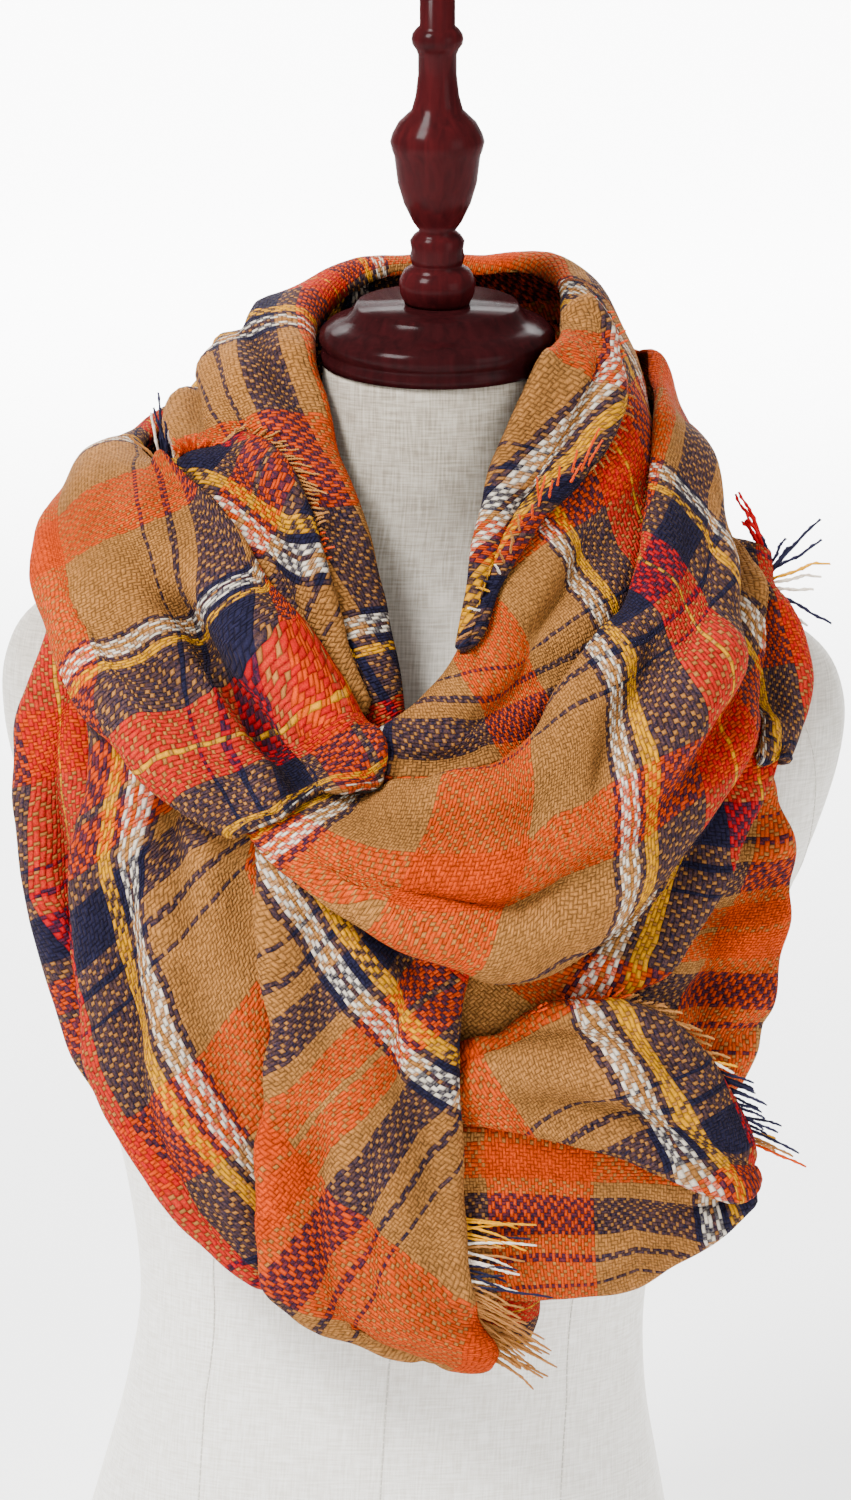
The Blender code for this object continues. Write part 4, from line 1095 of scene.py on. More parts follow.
def plaid_cloth():
    """Acrylic blanket plaid: a broken twill of fat soft yarns, brushed, so matt with a faint bloom of fibres."""
    made, tree, shader = new_material("brushed_plaid_twill", Roughness=0.95, Specular_IOR_Level=0.04, Sheen_Weight=0.04,
                                      Sheen_Roughness=0.5, Sheen_Tint=linear("#E8B98C"))
    plaid = add_node(tree, "ShaderNodeAttribute", {"attribute_name": "plaid"}).outputs["Vector"]
    where = add_node(tree, "ShaderNodeTexCoord").outputs["Object"]
    wander = add_node(tree, NOISE, Vector=where, Scale=DRIFT_SCALE, Detail=1.0).outputs["Color"]
    place = add_node(tree, SPLIT, Vector=plaid).outputs
    drift = add_node(tree, "ShaderNodeSeparateColor", Color=wander).outputs
    threads = []
    for k in range(2):
        off = add_node(tree, MATH, "MULTIPLY_ADD", drift[k], 2 * DRIFT, -DRIFT)
        threads.append(add_node(tree, MATH, "DIVIDE", add_node(tree, MATH, "ADD", place[k], off), THREAD))
    numbers = [add_node(tree, MATH, "FLOOR", at) for at in threads]
    across_warp, across_weft = [add_node(tree, MATH, "FRACT", at) for at in threads]
    centres = [add_node(tree, MATH, "MULTIPLY", add_node(tree, MATH, "ADD", number, 0.5), THREAD) for number in numbers]

    # The twill steps on by one thread at each weft, and breaks its line halfway through four.
    quarter = add_node(tree, MATH, "FLOORED_MODULO", numbers[1], 4.0)
    broken = add_node(tree, MATH, "ADD", quarter, add_node(tree, MATH, "GREATER_THAN", quarter, 1.5))
    last = add_node(tree, MATH, "GREATER_THAN", quarter, 2.5)
    swapped = add_node(tree, MATH, "SUBTRACT", broken, add_node(tree, MATH, "MULTIPLY", last, 2.0))
    step = add_node(tree, MATH, "FLOORED_MODULO", add_node(tree, MATH, "ADD", numbers[0], swapped), 4.0)

    # A stripe's yarn lies on top for three threads of four where it crosses camel. White, and stripes that cross each
    # other, share the face evenly.
    stronger = add_node(tree, MATH, "SUBTRACT", stripes(tree, centres[0], WARP_STRIPES, strong_warp),
                        stripes(tree, centres[1], WEFT_STRIPES, strong_weft))
    face = add_node(tree, MATH, "ADD", stronger, 1.5)
    warp_over = add_node(tree, MATH, "LESS_THAN", step, face)
    warp_float = add_node(tree, MATH, "CEIL", face)
    weft_float = add_node(tree, MATH, "SUBTRACT", 4.0, warp_float)

    def yarn(across, along):
        """Height of a yarn that is round across and dips at the two ends of its float."""
        parts = []
        for share, bend in ((across, YARN_ROUND), (along, YARN_DIP)):
            off = add_node(tree, MATH, "ABSOLUTE", add_node(tree, MATH, "MULTIPLY_ADD", share, 2.0, -1.0))
            parts.append(add_node(tree, MATH, "SUBTRACT", 1.0, add_node(tree, MATH, "POWER", off, bend)))
        return add_node(tree, MATH, "MULTIPLY", *parts)

    on_warp = add_node(tree, MATH, "ADD", step, across_weft)
    on_weft = add_node(tree, MATH, "ADD", add_node(tree, MATH, "SUBTRACT", step, warp_float), across_warp)
    over_height = yarn(across_warp, add_node(tree, MATH, "DIVIDE", on_warp, warp_float))
    under_height = yarn(across_weft, add_node(tree, MATH, "DIVIDE", on_weft, weft_float))
    height = add_node(tree, MIX, FLOAT, i0=warp_over, i2=under_height, i3=over_height)

    colours = [stripes(tree, centre, table) for centre, table in zip(centres, (WARP_STRIPES, WEFT_STRIPES))]
    nap = add_node(tree, NOISE, Vector=where, Scale=NAP_SCALE, Detail=3.0)
    top = add_node(tree, MIX, COLOUR, i0=warp_over, i6=colours[1], i7=colours[0]).outputs[2]
    both = add_node(tree, MIX, COLOUR, i0=0.5, i6=colours[1], i7=colours[0]).outputs[2]
    brushed = add_node(tree, MIX, COLOUR, i0=add_node(tree, MATH, "MULTIPLY_ADD", nap, 1.3, -0.42), i6=top, i7=both)

    fibres = add_node(tree, NOISE, Vector=where, Scale=FIBRE_SCALE, Detail=2.0)
    patches = add_node(tree, NOISE, Vector=where, Scale=PATCH_SCALE, Detail=2.0)
    cell = add_node(tree, JOIN, X=numbers[0], Y=numbers[1])
    uneven = add_node(tree, "ShaderNodeTexWhiteNoise", {"noise_dimensions": "2D"}, Vector=cell)
    chance = add_node(tree, MATH, "MULTIPLY_ADD", uneven, CHANCE_LIGHT, LEAST_LIGHT)
    # Painted shade: each yarn's colour is lightened on its crown and darkened where it dips; fibres and patches add
    # tone that differs at random.
    light = add_node(tree, MATH, "MULTIPLY_ADD", height, PAINTED_HEIGHT_LIGHT, chance)
    light = add_node(tree, MATH, "MULTIPLY", light, add_node(tree, MATH, "MULTIPLY_ADD", fibres, 1.0, 0.5))
    light = add_node(tree, MATH, "MULTIPLY", light, add_node(tree, MATH, "MULTIPLY_ADD", patches, 0.3, 0.85))
    # Painted shade: the colour is darkened where a crease sinks, and lightened a little where it rises.
    depth = add_node(tree, "ShaderNodeClamp", Value=add_node(tree, MATH, "MULTIPLY_ADD", place[2], PAINTED_CREASE_SHADE, 1.0),
                     Min=PAINTED_CREASE_DARKEST, Max=PAINTED_CREASE_LIGHTEST)
    light = add_node(tree, MATH, "MULTIPLY", light, depth)
    shade = add_node(tree, MIX, TINT, i0=1.0, i6=brushed.outputs[2],
                     i7=add_node(tree, GREY, Red=light, Green=light, Blue=light))
    tree.links.new(shade.outputs[2], shader["Base Color"])
    relief = add_node(tree, MATH, "ADD", height, add_node(tree, MATH, "MULTIPLY", fibres, 0.5))
    bump = add_node(tree, "ShaderNodeBump", Height=relief, Strength=0.8, Distance=0.9 * MM)
    tree.links.new(bump.outputs[0], shader["Normal"])
    return made


# Loose yarn has fibres of 0.6 mm and sewing thread wears over 3 mm, both in repeats per metre.
LOOSE_FIBRE_SCALE, THREAD_WEAR_SCALE = 1600.0, 300.0


def sewing_thread():
    """Off-white polyester sewing thread: a faint sheen, its twist too fine to draw here."""
    made, tree, shader = new_material("sewing_thread", Roughness=0.6)
    where = add_node(tree, "ShaderNodeTexCoord").outputs["Object"]
    worn = add_node(tree, NOISE, Vector=where, Scale=THREAD_WEAR_SCALE, Detail=2.0)
    colour = add_node(tree, MIX, COLOUR, i0=worn, i6=linear("#BDB7AB"), i7=linear("#DAD5CB"))
    tree.links.new(colour.outputs[2], shader["Base Color"])
    return made


def yarn_ends_finish():
    """Loose two-ply yarn of the plaid's own colours: matt, with fine fibres."""
    made, tree, shader = new_material("loose_acrylic_yarn", Roughness=0.95, Specular_IOR_Level=0.15)
    plaid = add_node(tree, "ShaderNodeAttribute", {"attribute_name": "plaid"}).outputs["Vector"]
    yarn = stripes(tree, add_node(tree, SPLIT, Vector=plaid).outputs[1], WEFT_STRIPES)
    where = add_node(tree, "ShaderNodeTexCoord").outputs["Object"]
    fibres = add_node(tree, NOISE, Vector=where, Scale=LOOSE_FIBRE_SCALE, Detail=2.0)
    light = add_node(tree, MATH, "MULTIPLY_ADD", fibres, 0.7, 0.6)
    shade = add_node(tree, MIX, TINT, i0=1.0, i6=yarn, i7=add_node(tree, GREY, Red=light, Green=light, Blue=light))
    tree.links.new(shade.outputs[2], shader["Base Color"])
    bump = add_node(tree, "ShaderNodeBump", Height=fibres, Strength=0.5, Distance=0.3 * MM)
    tree.links.new(bump.outputs[0], shader["Normal"])
    return made


# Linen's colours, dark and light slubs, where it is unshaded and where painted shade greys it towards the neck, under
# the cap and the scarf, and the heights between which the one turns into the other.
UNSHADED_LINEN, NECK_SHADED_LINEN = ("#DCD6CA", "#FAF7F0"), ("#857B6B", "#B3AA9A")
NECK_SHADE_FROM, NECK_SHADE_TO = 330.0, 640.0
# Slubs are 1 mm wide and 14 mm long, in repeats per millimetre. A linen thread is about half of this pitch in
# millimetres; it is drawn coarser, so that it shows.
SLUB_WIDE, SLUB_LONG, LINEN_PITCH = 1.0, 0.07, 1.1


def linen_cover():
    """Off-white linen over a padded form: plain weave with slubs, matt."""
    made, tree, shader = new_material("linen_cover", Roughness=0.9, Specular_IOR_Level=0.25, Sheen_Weight=0.15)
    place = add_node(tree, "ShaderNodeAttribute", {"attribute_name": "weave"}).outputs["Vector"]
    slubs = []
    for scale in ((SLUB_WIDE, SLUB_LONG, 1.0), (SLUB_LONG, SLUB_WIDE, 1.0)):
        mapped = add_node(tree, "ShaderNodeMapping", Vector=place, Scale=scale)
        slubs.append(add_node(tree, NOISE, Vector=mapped, Scale=1.0, Detail=3.0))
    threads = add_node(tree, MATH, "ADD", *slubs)
    split = add_node(tree, SPLIT, Vector=place).outputs
    waves = [add_node(tree, MATH, "SINE", add_node(tree, MATH, "MULTIPLY", split[k], 2 * math.pi / LINEN_PITCH))
             for k in range(2)]
    weave = add_node(tree, MATH, "MULTIPLY", *waves)
    light = add_node(tree, MATH, "MULTIPLY_ADD", threads, 2.2, -1.7)
    # Painted shade: the linen turns greyer with height towards the neck, where the cap and the scarf shade it.
    height = add_node(tree, "ShaderNodeMapRange", {"interpolation_type": "SMOOTHSTEP"}, Value=split[1],
                      From_Min=NECK_SHADE_FROM, From_Max=NECK_SHADE_TO)
    unshaded, neck_shaded = [add_node(tree, MIX, COLOUR, i0=light, i6=linear(dark), i7=linear(pale)).outputs[2]
                      for dark, pale in (UNSHADED_LINEN, NECK_SHADED_LINEN)]
    colour = add_node(tree, MIX, COLOUR, i0=height, i6=unshaded, i7=neck_shaded)
    tree.links.new(colour.outputs[2], shader["Base Color"])
    relief = add_node(tree, MATH, "MULTIPLY_ADD", weave, 0.25, threads)
    bump = add_node(tree, "ShaderNodeBump", Height=relief, Strength=0.22, Distance=0.3 * MM)
    tree.links.new(bump.outputs[0], shader["Normal"])
    return made


# Mahogany's grain in repeats per metre: lines 4.5 mm apart across it, and 71 mm long.
GRAIN_ACROSS, GRAIN_ALONG = 220.0, 14.0


def varnished_mahogany(name, dark, light):
    """Turned mahogany under a dark red gloss varnish: fine grain along the turning axis, clear highlights."""
    made, tree, shader = new_material(name, Roughness=0.45, Specular_IOR_Level=0.0, Coat_Weight=0.075,
                                      Coat_Roughness=0.16)
    where = add_node(tree, "ShaderNodeTexCoord").outputs["Object"]
    grain = add_node(tree, "ShaderNodeMapping", Vector=where, Scale=(GRAIN_ACROSS, GRAIN_ACROSS, GRAIN_ALONG))
    lines = add_node(tree, NOISE, Vector=grain, Scale=1.0, Detail=6.0, Distortion=0.6)
    colour = add_node(tree, MIX, COLOUR, i0=add_node(tree, MATH, "MULTIPLY_ADD", lines, 1.8, -0.4), i6=linear(dark),
                      i7=linear(light))
    tree.links.new(colour.outputs[2], shader["Base Color"])
    bump = add_node(tree, "ShaderNodeBump", Height=lines, Strength=0.08, Distance=0.4 * MM)
    tree.links.new(bump.outputs[0], shader["Normal"])
    return made


# ---- loose yarn ends ----

# A frayed edge: the stretch and its edge, how many strands stand on it, how thick they are, how strongly they curl
# and fall, the seed of their chances, and the guides between which they are laid out: a share of the edge, the
# yarn's place in the weft stripes, and how far its tip lies from its root, across, down and forward.
Fray = namedtuple("Fray", "stretch edge strands thick curl droop seed guides")
Guide = namedtuple("Guide", "along place across down forward")

FRAYS = {
    "fringe_left_tuft": Fray("left_inner_fall", "start", 38, 2.1, 5.0, 0.1, 3, [
        Guide(0.05, 75, 5, -5, 4), Guide(0.28, 80, 7, -5, 4), Guide(0.34, 25, 12, -3, 6), Guide(0.50, 25, 2, -12, 6),
        Guide(0.60, 28, -9, -8, 6), Guide(0.68, 30, 8, 5, 6), Guide(0.78, 140, -4, -26, 5),
        Guide(0.86, 140, -6, -36, 4), Guide(0.90, 80, -15, -32, 4), Guide(0.95, 130, -22, -24, 4)]),
    "fringe_left_collar": Fray("left_inner_fall", "a", 34, 1.7, 3.0, 0.1, 5, [
        Guide(0.03, 75, 9, -5, 3), Guide(0.18, 70, 11, -2, 3), Guide(0.36, 80, 10, 2, 3), Guide(0.50, 60, 7, -3, 2),
        Guide(0.62, 30, 5, -4, 2)]),
    "fringe_right_collar": Fray("right_inner_fall", "b", 46, 1.8, 3.0, 0.1, 7, [
        Guide(0.02, 25, 3, -4, 2), Guide(0.20, 25, 5, -3, 2), Guide(0.28, 80, 6, 1, 2), Guide(0.46, 85, 4, 5, 2),
        Guide(0.56, 28, -4, 4, 2), Guide(0.68, 25, -6, 3, 2), Guide(0.78, 106, -8, 2, 2), Guide(0.86, 132, -9, 10, 3),
        Guide(0.92, 80, -12, 18, 4), Guide(0.97, 135, -9, 20, 4)]),
    "fringe_right_corner": Fray("right_outer_fold", "a", 16, 2.6, 11.0, 0.12, 12, [
        Guide(0.00, 158, -22, -30, 4), Guide(0.05, 156, -10, -34, 4), Guide(0.07, 140, 8, -34, 4),
        Guide(0.10, 134, 30, -28, 4), Guide(0.13, 110, 42, -8, 4), Guide(0.15, 123, 36, 12, 4),
        Guide(0.17, 110, 28, 24, 4)]),
    "fringe_flap": Fray("corner_flap", "a", 62, 2.2, 3.5, 0.1, 14, [
        Guide(0.26, 25, 2, -4, 2), Guide(0.46, 28, 4, -6, 2), Guide(0.54, 80, 10, -5, 3), Guide(0.64, 75, 15, 2, 4),
        Guide(0.76, 80, 15, 3, 4), Guide(0.82, 140, 13, 6, 3), Guide(0.88, 135, 14, 8, 3), Guide(0.97, 140, 15, 6, 3),
        Guide(1.00, 25, 24, 14, 3)]),
    "fringe_center": Fray("center_drop", "a", 52, 1.9, 4.5, 0.1, 18, [
        Guide(0.55, 124, 36, 2, 3), Guide(0.59, 124, 36, 0, 3), Guide(0.60, 112, 34, 3, 3), Guide(0.63, 112, 34, 1, 3),
        Guide(0.64, 135, 32, 2, 3), Guide(0.67, 106, 32, 5, 3), Guide(0.69, 80, 34, 8, 3), Guide(0.80, 78, 28, 14, 3),
        Guide(0.90, 82, 24, 12, 3), Guide(0.97, 78, 20, 10, 3)]),
}
# How far a strand's length and way, and its place in the stripes, stray by chance; and how its yarn is drawn: its
# steps and sides, how flat it is, how often it is plied, how much slimmer its tip is and how its curl wanders.
STRAND_CLEAR, STRAND_TURN = 1.2, 25.0
STRAND_CHECKS = (0.35, 0.7, 1.0)
ROOT_SUNK = 0.4
STRAY, SHORTEST, LONGEST, PLACE_STRAY, CURL_PLACES = 0.2, 0.55, 1.15, 2.5, 90.0
STRAND_STEPS, STRAND_SIDES = 12, 5
YARN_FLAT, PLY_TURN, TIP_SLIMMER, CURL_RUN = 0.55, 22.0, 0.3, 1.7
# A direction that no strand has, to find one square to it by.
ANY_WAY = (0.36, 0.48, 0.8)


def new_tree(name, **sockets):
    """A geometry tree with its named inputs, and what they give."""
    tree = bpy.data.node_groups.new(name, "GeometryNodeTree")
    for socket, kind in sockets.items():
        tree.interface.new_socket(socket, in_out="INPUT", socket_type="NodeSocket" + kind)
    tree.interface.new_socket("Geometry", in_out="OUTPUT", socket_type="NodeSocketGeometry")
    return tree, tree.nodes.new("NodeGroupInput").outputs


def end_tree(tree, geometry, finish):
    """Ends a tree with its instances made real, in their material."""
    real = add_node(tree, "GeometryNodeRealizeInstances", i0=geometry)
    done = add_node(tree, "GeometryNodeSetMaterial", Geometry=real, Material=finish)
    tree.links.new(done.outputs[0], tree.nodes.new("NodeGroupOutput").inputs[0])
    return tree


def yarn_tree(finish):
    """Yarn ends on a path: a strand at each even station, laid by the path's guides, curled and drooping by chance."""
    tree, given = new_tree("yarn_ends", Path="Geometry", Strands="Int", Thickness="Float", Curl="Float", Droop="Float",
                           Seed="Int")
    way, root, plaid, number = [add_node(tree, "GeometryNodeInputNamedAttribute", kind, Name=name).outputs[0]
                                for name, kind in (("way", VECTOR), ("root", VECTOR), ("plaid", VECTOR),
                                                   ("strand", FLOAT))]
    position = add_node(tree, "GeometryNodeInputPosition")
    length = add_node(tree, VECTOR_MATH, "LENGTH", way).outputs["Value"]

    chances = []
    for salt, (kind, low, high) in enumerate(((VECTOR, (-STRAY,) * 3, (STRAY,) * 3), (FLOAT, SHORTEST, LONGEST),
                                              (VECTOR, (0, -PLACE_STRAY, 0), (0, PLACE_STRAY, 0)),
                                              (FLOAT, 0.0, CURL_PLACES))):
        at = 0 if kind is VECTOR else 2
        made = add_node(tree, "FunctionNodeRandomValue", kind, Seed=add_node(tree, MATH, "ADD", given["Seed"], salt),
                        **{f"i{at}": low, f"i{at + 1}": high})
        chances.append(made.outputs[at // 2])
    stray = add_node(tree, VECTOR_MATH, "SCALE", chances[0], Scale=length)
    strayed = add_node(tree, VECTOR_MATH, "SCALE", add_node(tree, VECTOR_MATH, "ADD", way, stray), Scale=chances[1])
    coloured = add_node(tree, VECTOR_MATH, "ADD", plaid, chances[2])

    path = add_node(tree, "GeometryNodeMeshToCurve", i0=given["Path"])
    even = add_node(tree, "GeometryNodeResampleCurve", {"mode": "COUNT"}, Curve=path, Count=given["Strands"])
    for name, kind, value in (("plaid", VECTOR, coloured), ("strand", FLOAT, chances[3]), ("root", VECTOR, position),
                              ("way", VECTOR, strayed)):
        even = add_node(tree, "GeometryNodeStoreNamedAttribute", kind, i0=even, Name=name, i3=value)
    line = add_node(tree, "GeometryNodeCurvePrimitiveLine", End=(0, 0, 1))
    line = add_node(tree, "GeometryNodeResampleCurve", {"mode": "COUNT"}, Curve=line, Count=STRAND_STEPS)
    ring = add_node(tree, "GeometryNodeCurvePrimitiveCircle", Resolution=STRAND_SIDES,
                    Radius=add_node(tree, MATH, "DIVIDE", given["Thickness"], 2.0))
    strand = add_node(tree, "GeometryNodeCurveToMesh", i0=line, Profile_Curve=ring, Fill_Caps=True)
    placed = add_node(tree, "GeometryNodeInstanceOnPoints", Points=even, Instance=strand)
    real = add_node(tree, "GeometryNodeRealizeInstances", i0=placed)

    # On the strand as it stands, z is the share of its length; across it lies its round section, flattened and plied.
    share = add_node(tree, SPLIT, Vector=add_node(tree, VECTOR_MATH, "SUBTRACT", position, root)).outputs
    along = share[2]
    side = add_node(tree, VECTOR_MATH, "CROSS_PRODUCT", way, ANY_WAY)
    side = add_node(tree, VECTOR_MATH, "NORMALIZE", side)
    other = add_node(tree, VECTOR_MATH, "NORMALIZE", add_node(tree, VECTOR_MATH, "CROSS_PRODUCT", way, side))
    wide = add_node(tree, VECTOR_MATH, "SCALE", side, Scale=share[0])
    flat = add_node(tree, VECTOR_MATH, "SCALE", other, Scale=add_node(tree, MATH, "MULTIPLY", share[1], YARN_FLAT))
    plied = add_node(tree, "ShaderNodeVectorRotate", Vector=add_node(tree, VECTOR_MATH, "ADD", wide, flat), Axis=way,
                     Angle=add_node(tree, MATH, "MULTIPLY", along, PLY_TURN))
    slim = add_node(tree, MATH, "MULTIPLY_ADD", add_node(tree, MATH, "POWER", along, 3.0), -TIP_SLIMMER, 1.0)
    section = add_node(tree, VECTOR_MATH, "SCALE", plied, Scale=slim)

    # The strand's middle runs along its way, curls more towards its tip and falls with the square of its length.
    shift = add_node(tree, JOIN, X=add_node(tree, MATH, "MULTIPLY", along, CURL_RUN), Y=number)
    wander = add_node(tree, NOISE, Vector=shift, Scale=1.0, Detail=1.0).outputs["Color"]
    curl = add_node(tree, VECTOR_MATH, "SCALE", add_node(tree, VECTOR_MATH, "SUBTRACT", wander, (0.5, 0.5, 0.5)),
                    Scale=add_node(tree, MATH, "MULTIPLY", along, given["Curl"]))
    fall = add_node(tree, MATH, "MULTIPLY", add_node(tree, MATH, "MULTIPLY", along, along), length)
    down = add_node(tree, MATH, "MULTIPLY", fall, add_node(tree, MATH, "MULTIPLY", given["Droop"], -1.0))
    straight = add_node(tree, VECTOR_MATH, "ADD", root, add_node(tree, VECTOR_MATH, "SCALE", way, Scale=along))
    bend = add_node(tree, VECTOR_MATH, "ADD", curl, add_node(tree, JOIN, Z=down))
    middle = add_node(tree, VECTOR_MATH, "ADD", straight, bend)
    bent = add_node(tree, "GeometryNodeSetPosition", Geometry=real,
                    Position=add_node(tree, VECTOR_MATH, "ADD", middle, section))
    return end_tree(tree, add_node(tree, "GeometryNodeSetShadeSmooth", Geometry=bent), finish)


def grown(source, tree, values, name, finish):
    """Runs a tree on an object with its inputs set, and keeps the plain mesh that it makes in the object's place."""
    grow = source.modifiers.new("Grow", "NODES")
    grow.node_group = tree
    sockets = {item.name: item.identifier for item in tree.interface.items_tree if item.in_out == "INPUT"}
    for socket, value in values.items():
        grow[sockets[socket]] = value
    graph = bpy.context.evaluated_depsgraph_get()
    mesh = bpy.data.meshes.new_from_object(source.evaluated_get(graph), preserve_all_data_layers=True, depsgraph=graph)
    source.modifiers.remove(grow)
    bpy.data.objects.remove(source)
    mesh.name = name
    return shown(name, mesh, finish)


def strand_way(root, way, walls):
    """A strand's way from its root, turned outward where it would pass through cloth."""
    for share in STRAND_CHECKS:
        at = root + way * share
        out = ways_out(at[None, None])[0, 0]
        start = Vector(at + out * OVER_REACH)
        for tree, *_ in walls:
            hit = tree.ray_cast(start, Vector(-out), OVER_REACH + STRAND_CLEAR)
            if hit[0] is not None:
                way = way + out * min(max(OVER_REACH + STRAND_CLEAR - hit[3], 0), STRAND_TURN) / share
                at = root + way * share
                start = Vector(at + out * OVER_REACH)
    return way


def frayed_piece(name, fray, part, walls, tree, finish):
    """Carries the guides to the edge's points, runs the tree on them and keeps the mesh that it makes."""
    edges = {"a": (part[:, 0], part[:, 3]), "b": (part[:, -1], part[:, -4]), "start": (part[0], part[3])}
    line, inner = edges[fray.edge]
    out = (line - inner) / np.linalg.norm(line - inner, axis=1, keepdims=True)
    along = np.linspace(0, 1, len(line))
    guides = fray.guides
    inside = (along >= guides[0].along) & (along <= guides[-1].along)
    read = {key: np.interp(along, [g.along for g in guides], [getattr(g, key) for g in guides])[:, None]
            for key in ("place", "across", "down", "forward")}
    way = np.concatenate([read["across"], -read["forward"], -read["down"]], axis=1)
    way = np.array([strand_way(at, to, walls) for at, to in zip(line, way)]) * MM
    places = np.concatenate([0 * read["place"], read["place"], 0 * read["place"]], axis=1)
    points = ((line - out * ROOT_SUNK) * MM)[inside]
    path = bpy.data.meshes.new(name + "_path")
    path.from_pydata(points.tolist(), [(k, k + 1) for k in range(len(points) - 1)], [])
    for key, values in (("way", way), ("plaid", places)):
        path.attributes.new(key, "FLOAT_VECTOR", "POINT").data.foreach_set("vector", values[inside].reshape(-1))
    sizes = {"Strands": fray.strands, "Thickness": fray.thick * MM, "Curl": fray.curl * MM, "Droop": fray.droop,
             "Seed": fray.seed}
    piece = grown(linked(name + "_path", path), tree, sizes, name + "_yarn", finish)
    for spare in ("way", "root", "strand"):
        piece.data.attributes.remove(piece.data.attributes[spare])
    return piece


# ---- the form and its turned wood ----

# Seams run down the middle and this far to each side of it, or a share of the half width where it is narrow.
PANEL_SEAM, PANEL_SHARE, PANEL_LOW = 90.0, 0.69, 3.0
# They end under the scarf, in front (-1) and behind (1), so that none shows on the neck.
PANEL_TOP = {-1: 470.0, 1: 590.0}
ARM_PLACE, ARM_HEIGHT, ARM_HALF, ARM_TALL = 4.0, 470.0, 46.0, 74.0
# Points along each seam, how far outside the form they are looked for, and how deep the thread lies in the linen.
PANEL_POINTS, ARM_POINTS, FAR_SIDE, FAR_FACE, THREAD_SUNK = 80, 49, 400, 300, 0.2
# Real seams have a stitch of about 2 mm; these are drawn a little coarser, so that they show.
STITCH, STITCH_PITCH, STITCH_THICK, STITCH_SIDES = 2.8, 3.6, 0.9, 6


def stitch_tree(finish):
    """Stitches along paths: one at each step of the pitch, turned along the path."""
    tree, given = new_tree("stitches", Paths="Geometry", Pitch="Float", Stitch="Float", Thread="Float")
    paths = add_node(tree, "GeometryNodeMeshToCurve", i0=given["Paths"])
    points = add_node(tree, "GeometryNodeCurveToPoints", {"mode": "LENGTH"}, Curve=paths, Length=given["Pitch"]).outputs
    half = add_node(tree, MATH, "DIVIDE", given["Stitch"], 2.0)
    ends = [add_node(tree, JOIN, Z=add_node(tree, MATH, "MULTIPLY", half, way)) for way in (-1.0, 1.0)]
    line = add_node(tree, "GeometryNodeCurvePrimitiveLine", Start=ends[0], End=ends[1])
    ring = add_node(tree, "GeometryNodeCurvePrimitiveCircle", Resolution=STITCH_SIDES,
                    Radius=add_node(tree, MATH, "DIVIDE", given["Thread"], 2.0))
    stitch = add_node(tree, "GeometryNodeCurveToMesh", i0=line, Profile_Curve=ring, Fill_Caps=True)
    placed = add_node(tree, "GeometryNodeInstanceOnPoints", Points=points["Points"], Instance=stitch,
                      Rotation=points["Rotation"])
    return end_tree(tree, placed, finish)


def seam_piece(wall, finish):
    """The torso's seams: three down the front and back, and one round each arm plate."""
    tree = wall[0]
    paths = []
    for share in (-1, 0, 1):
        for face in (-1, 1):
            path = []
            for height in np.linspace(PANEL_LOW, PANEL_TOP[face], PANEL_POINTS):
                left, right = (tree.ray_cast(Vector((-way * FAR_SIDE, ARM_PLACE, height)), Vector((way, 0, 0)))[0].x
                               for way in (1, -1))
                across = (left + right) / 2 + share * min(PANEL_SEAM, PANEL_SHARE * (right - left) / 2)
                path.append((Vector((across, face * FAR_FACE, height)), Vector((0, -face, 0))))
            paths.append(path)
    ring = [(ARM_PLACE + ARM_HALF * math.cos(a), ARM_HEIGHT + ARM_TALL * math.sin(a))
            for a in np.linspace(0, 2 * math.pi, ARM_POINTS)]
    for side in (-1, 1):
        paths.append([(Vector((side * FAR_SIDE, *at)), Vector((-side, 0, 0))) for at in ring])
    points, edges = [], []
    for path in paths:
        hits = [tree.ray_cast(start, way) for start, way in path]
        found = [(hit[0] - way * STITCH_THICK * THREAD_SUNK) * MM for hit, (_, way) in zip(hits, path)
                 if hit[0] is not None]
        edges += [(len(points) + k, len(points) + k + 1) for k in range(len(found) - 1)]
        points += [tuple(p) for p in found]
    mesh = bpy.data.meshes.new("seam_paths")
    mesh.from_pydata(points, edges, [])
    sizes = {"Pitch": STITCH_PITCH * MM, "Stitch": STITCH * MM, "Thread": STITCH_THICK * MM}
    return grown(linked("seam_paths", mesh), stitch_tree(finish), sizes, "torso_stitches", finish)


def form_piece(finish):
    """The torso at fine size: linen drawn over it, closed underneath."""
    grid = form_grid(6, 5)
    mesh = grid_mesh("torso_linen", grid)
    steps = np.cumsum(np.linalg.norm(np.diff(grid, axis=1), axis=2), axis=1)
    around = np.concatenate([np.zeros((len(grid), 1)), steps], axis=1)
    # The weave is counted from the middle of the front, so that its seam in the pattern lies at the side.
    around = around - around[:, [around.shape[1] * 3 // 4]]
    weave = np.stack([around, grid[:, :, 2], 0 * around], axis=2).reshape(-1, 3)
    corners = np.empty(len(mesh.loops), dtype=np.int32)
    mesh.loops.foreach_get("vertex_index", corners)
    mesh.attributes.new("weave", "FLOAT_VECTOR", "CORNER").data.foreach_set("vector", weave[corners].reshape(-1))
    bm = bmesh.new()
    bm.from_mesh(mesh)
    bmesh.ops.remove_doubles(bm, verts=bm.verts, dist=WELD)
    bmesh.ops.holes_fill(bm, edges=bm.edges, sides=0)
    bmesh.ops.recalc_face_normals(bm, faces=bm.faces)
    bm.to_mesh(mesh)
    bm.free()
    return shown("torso_linen", mesh, finish)


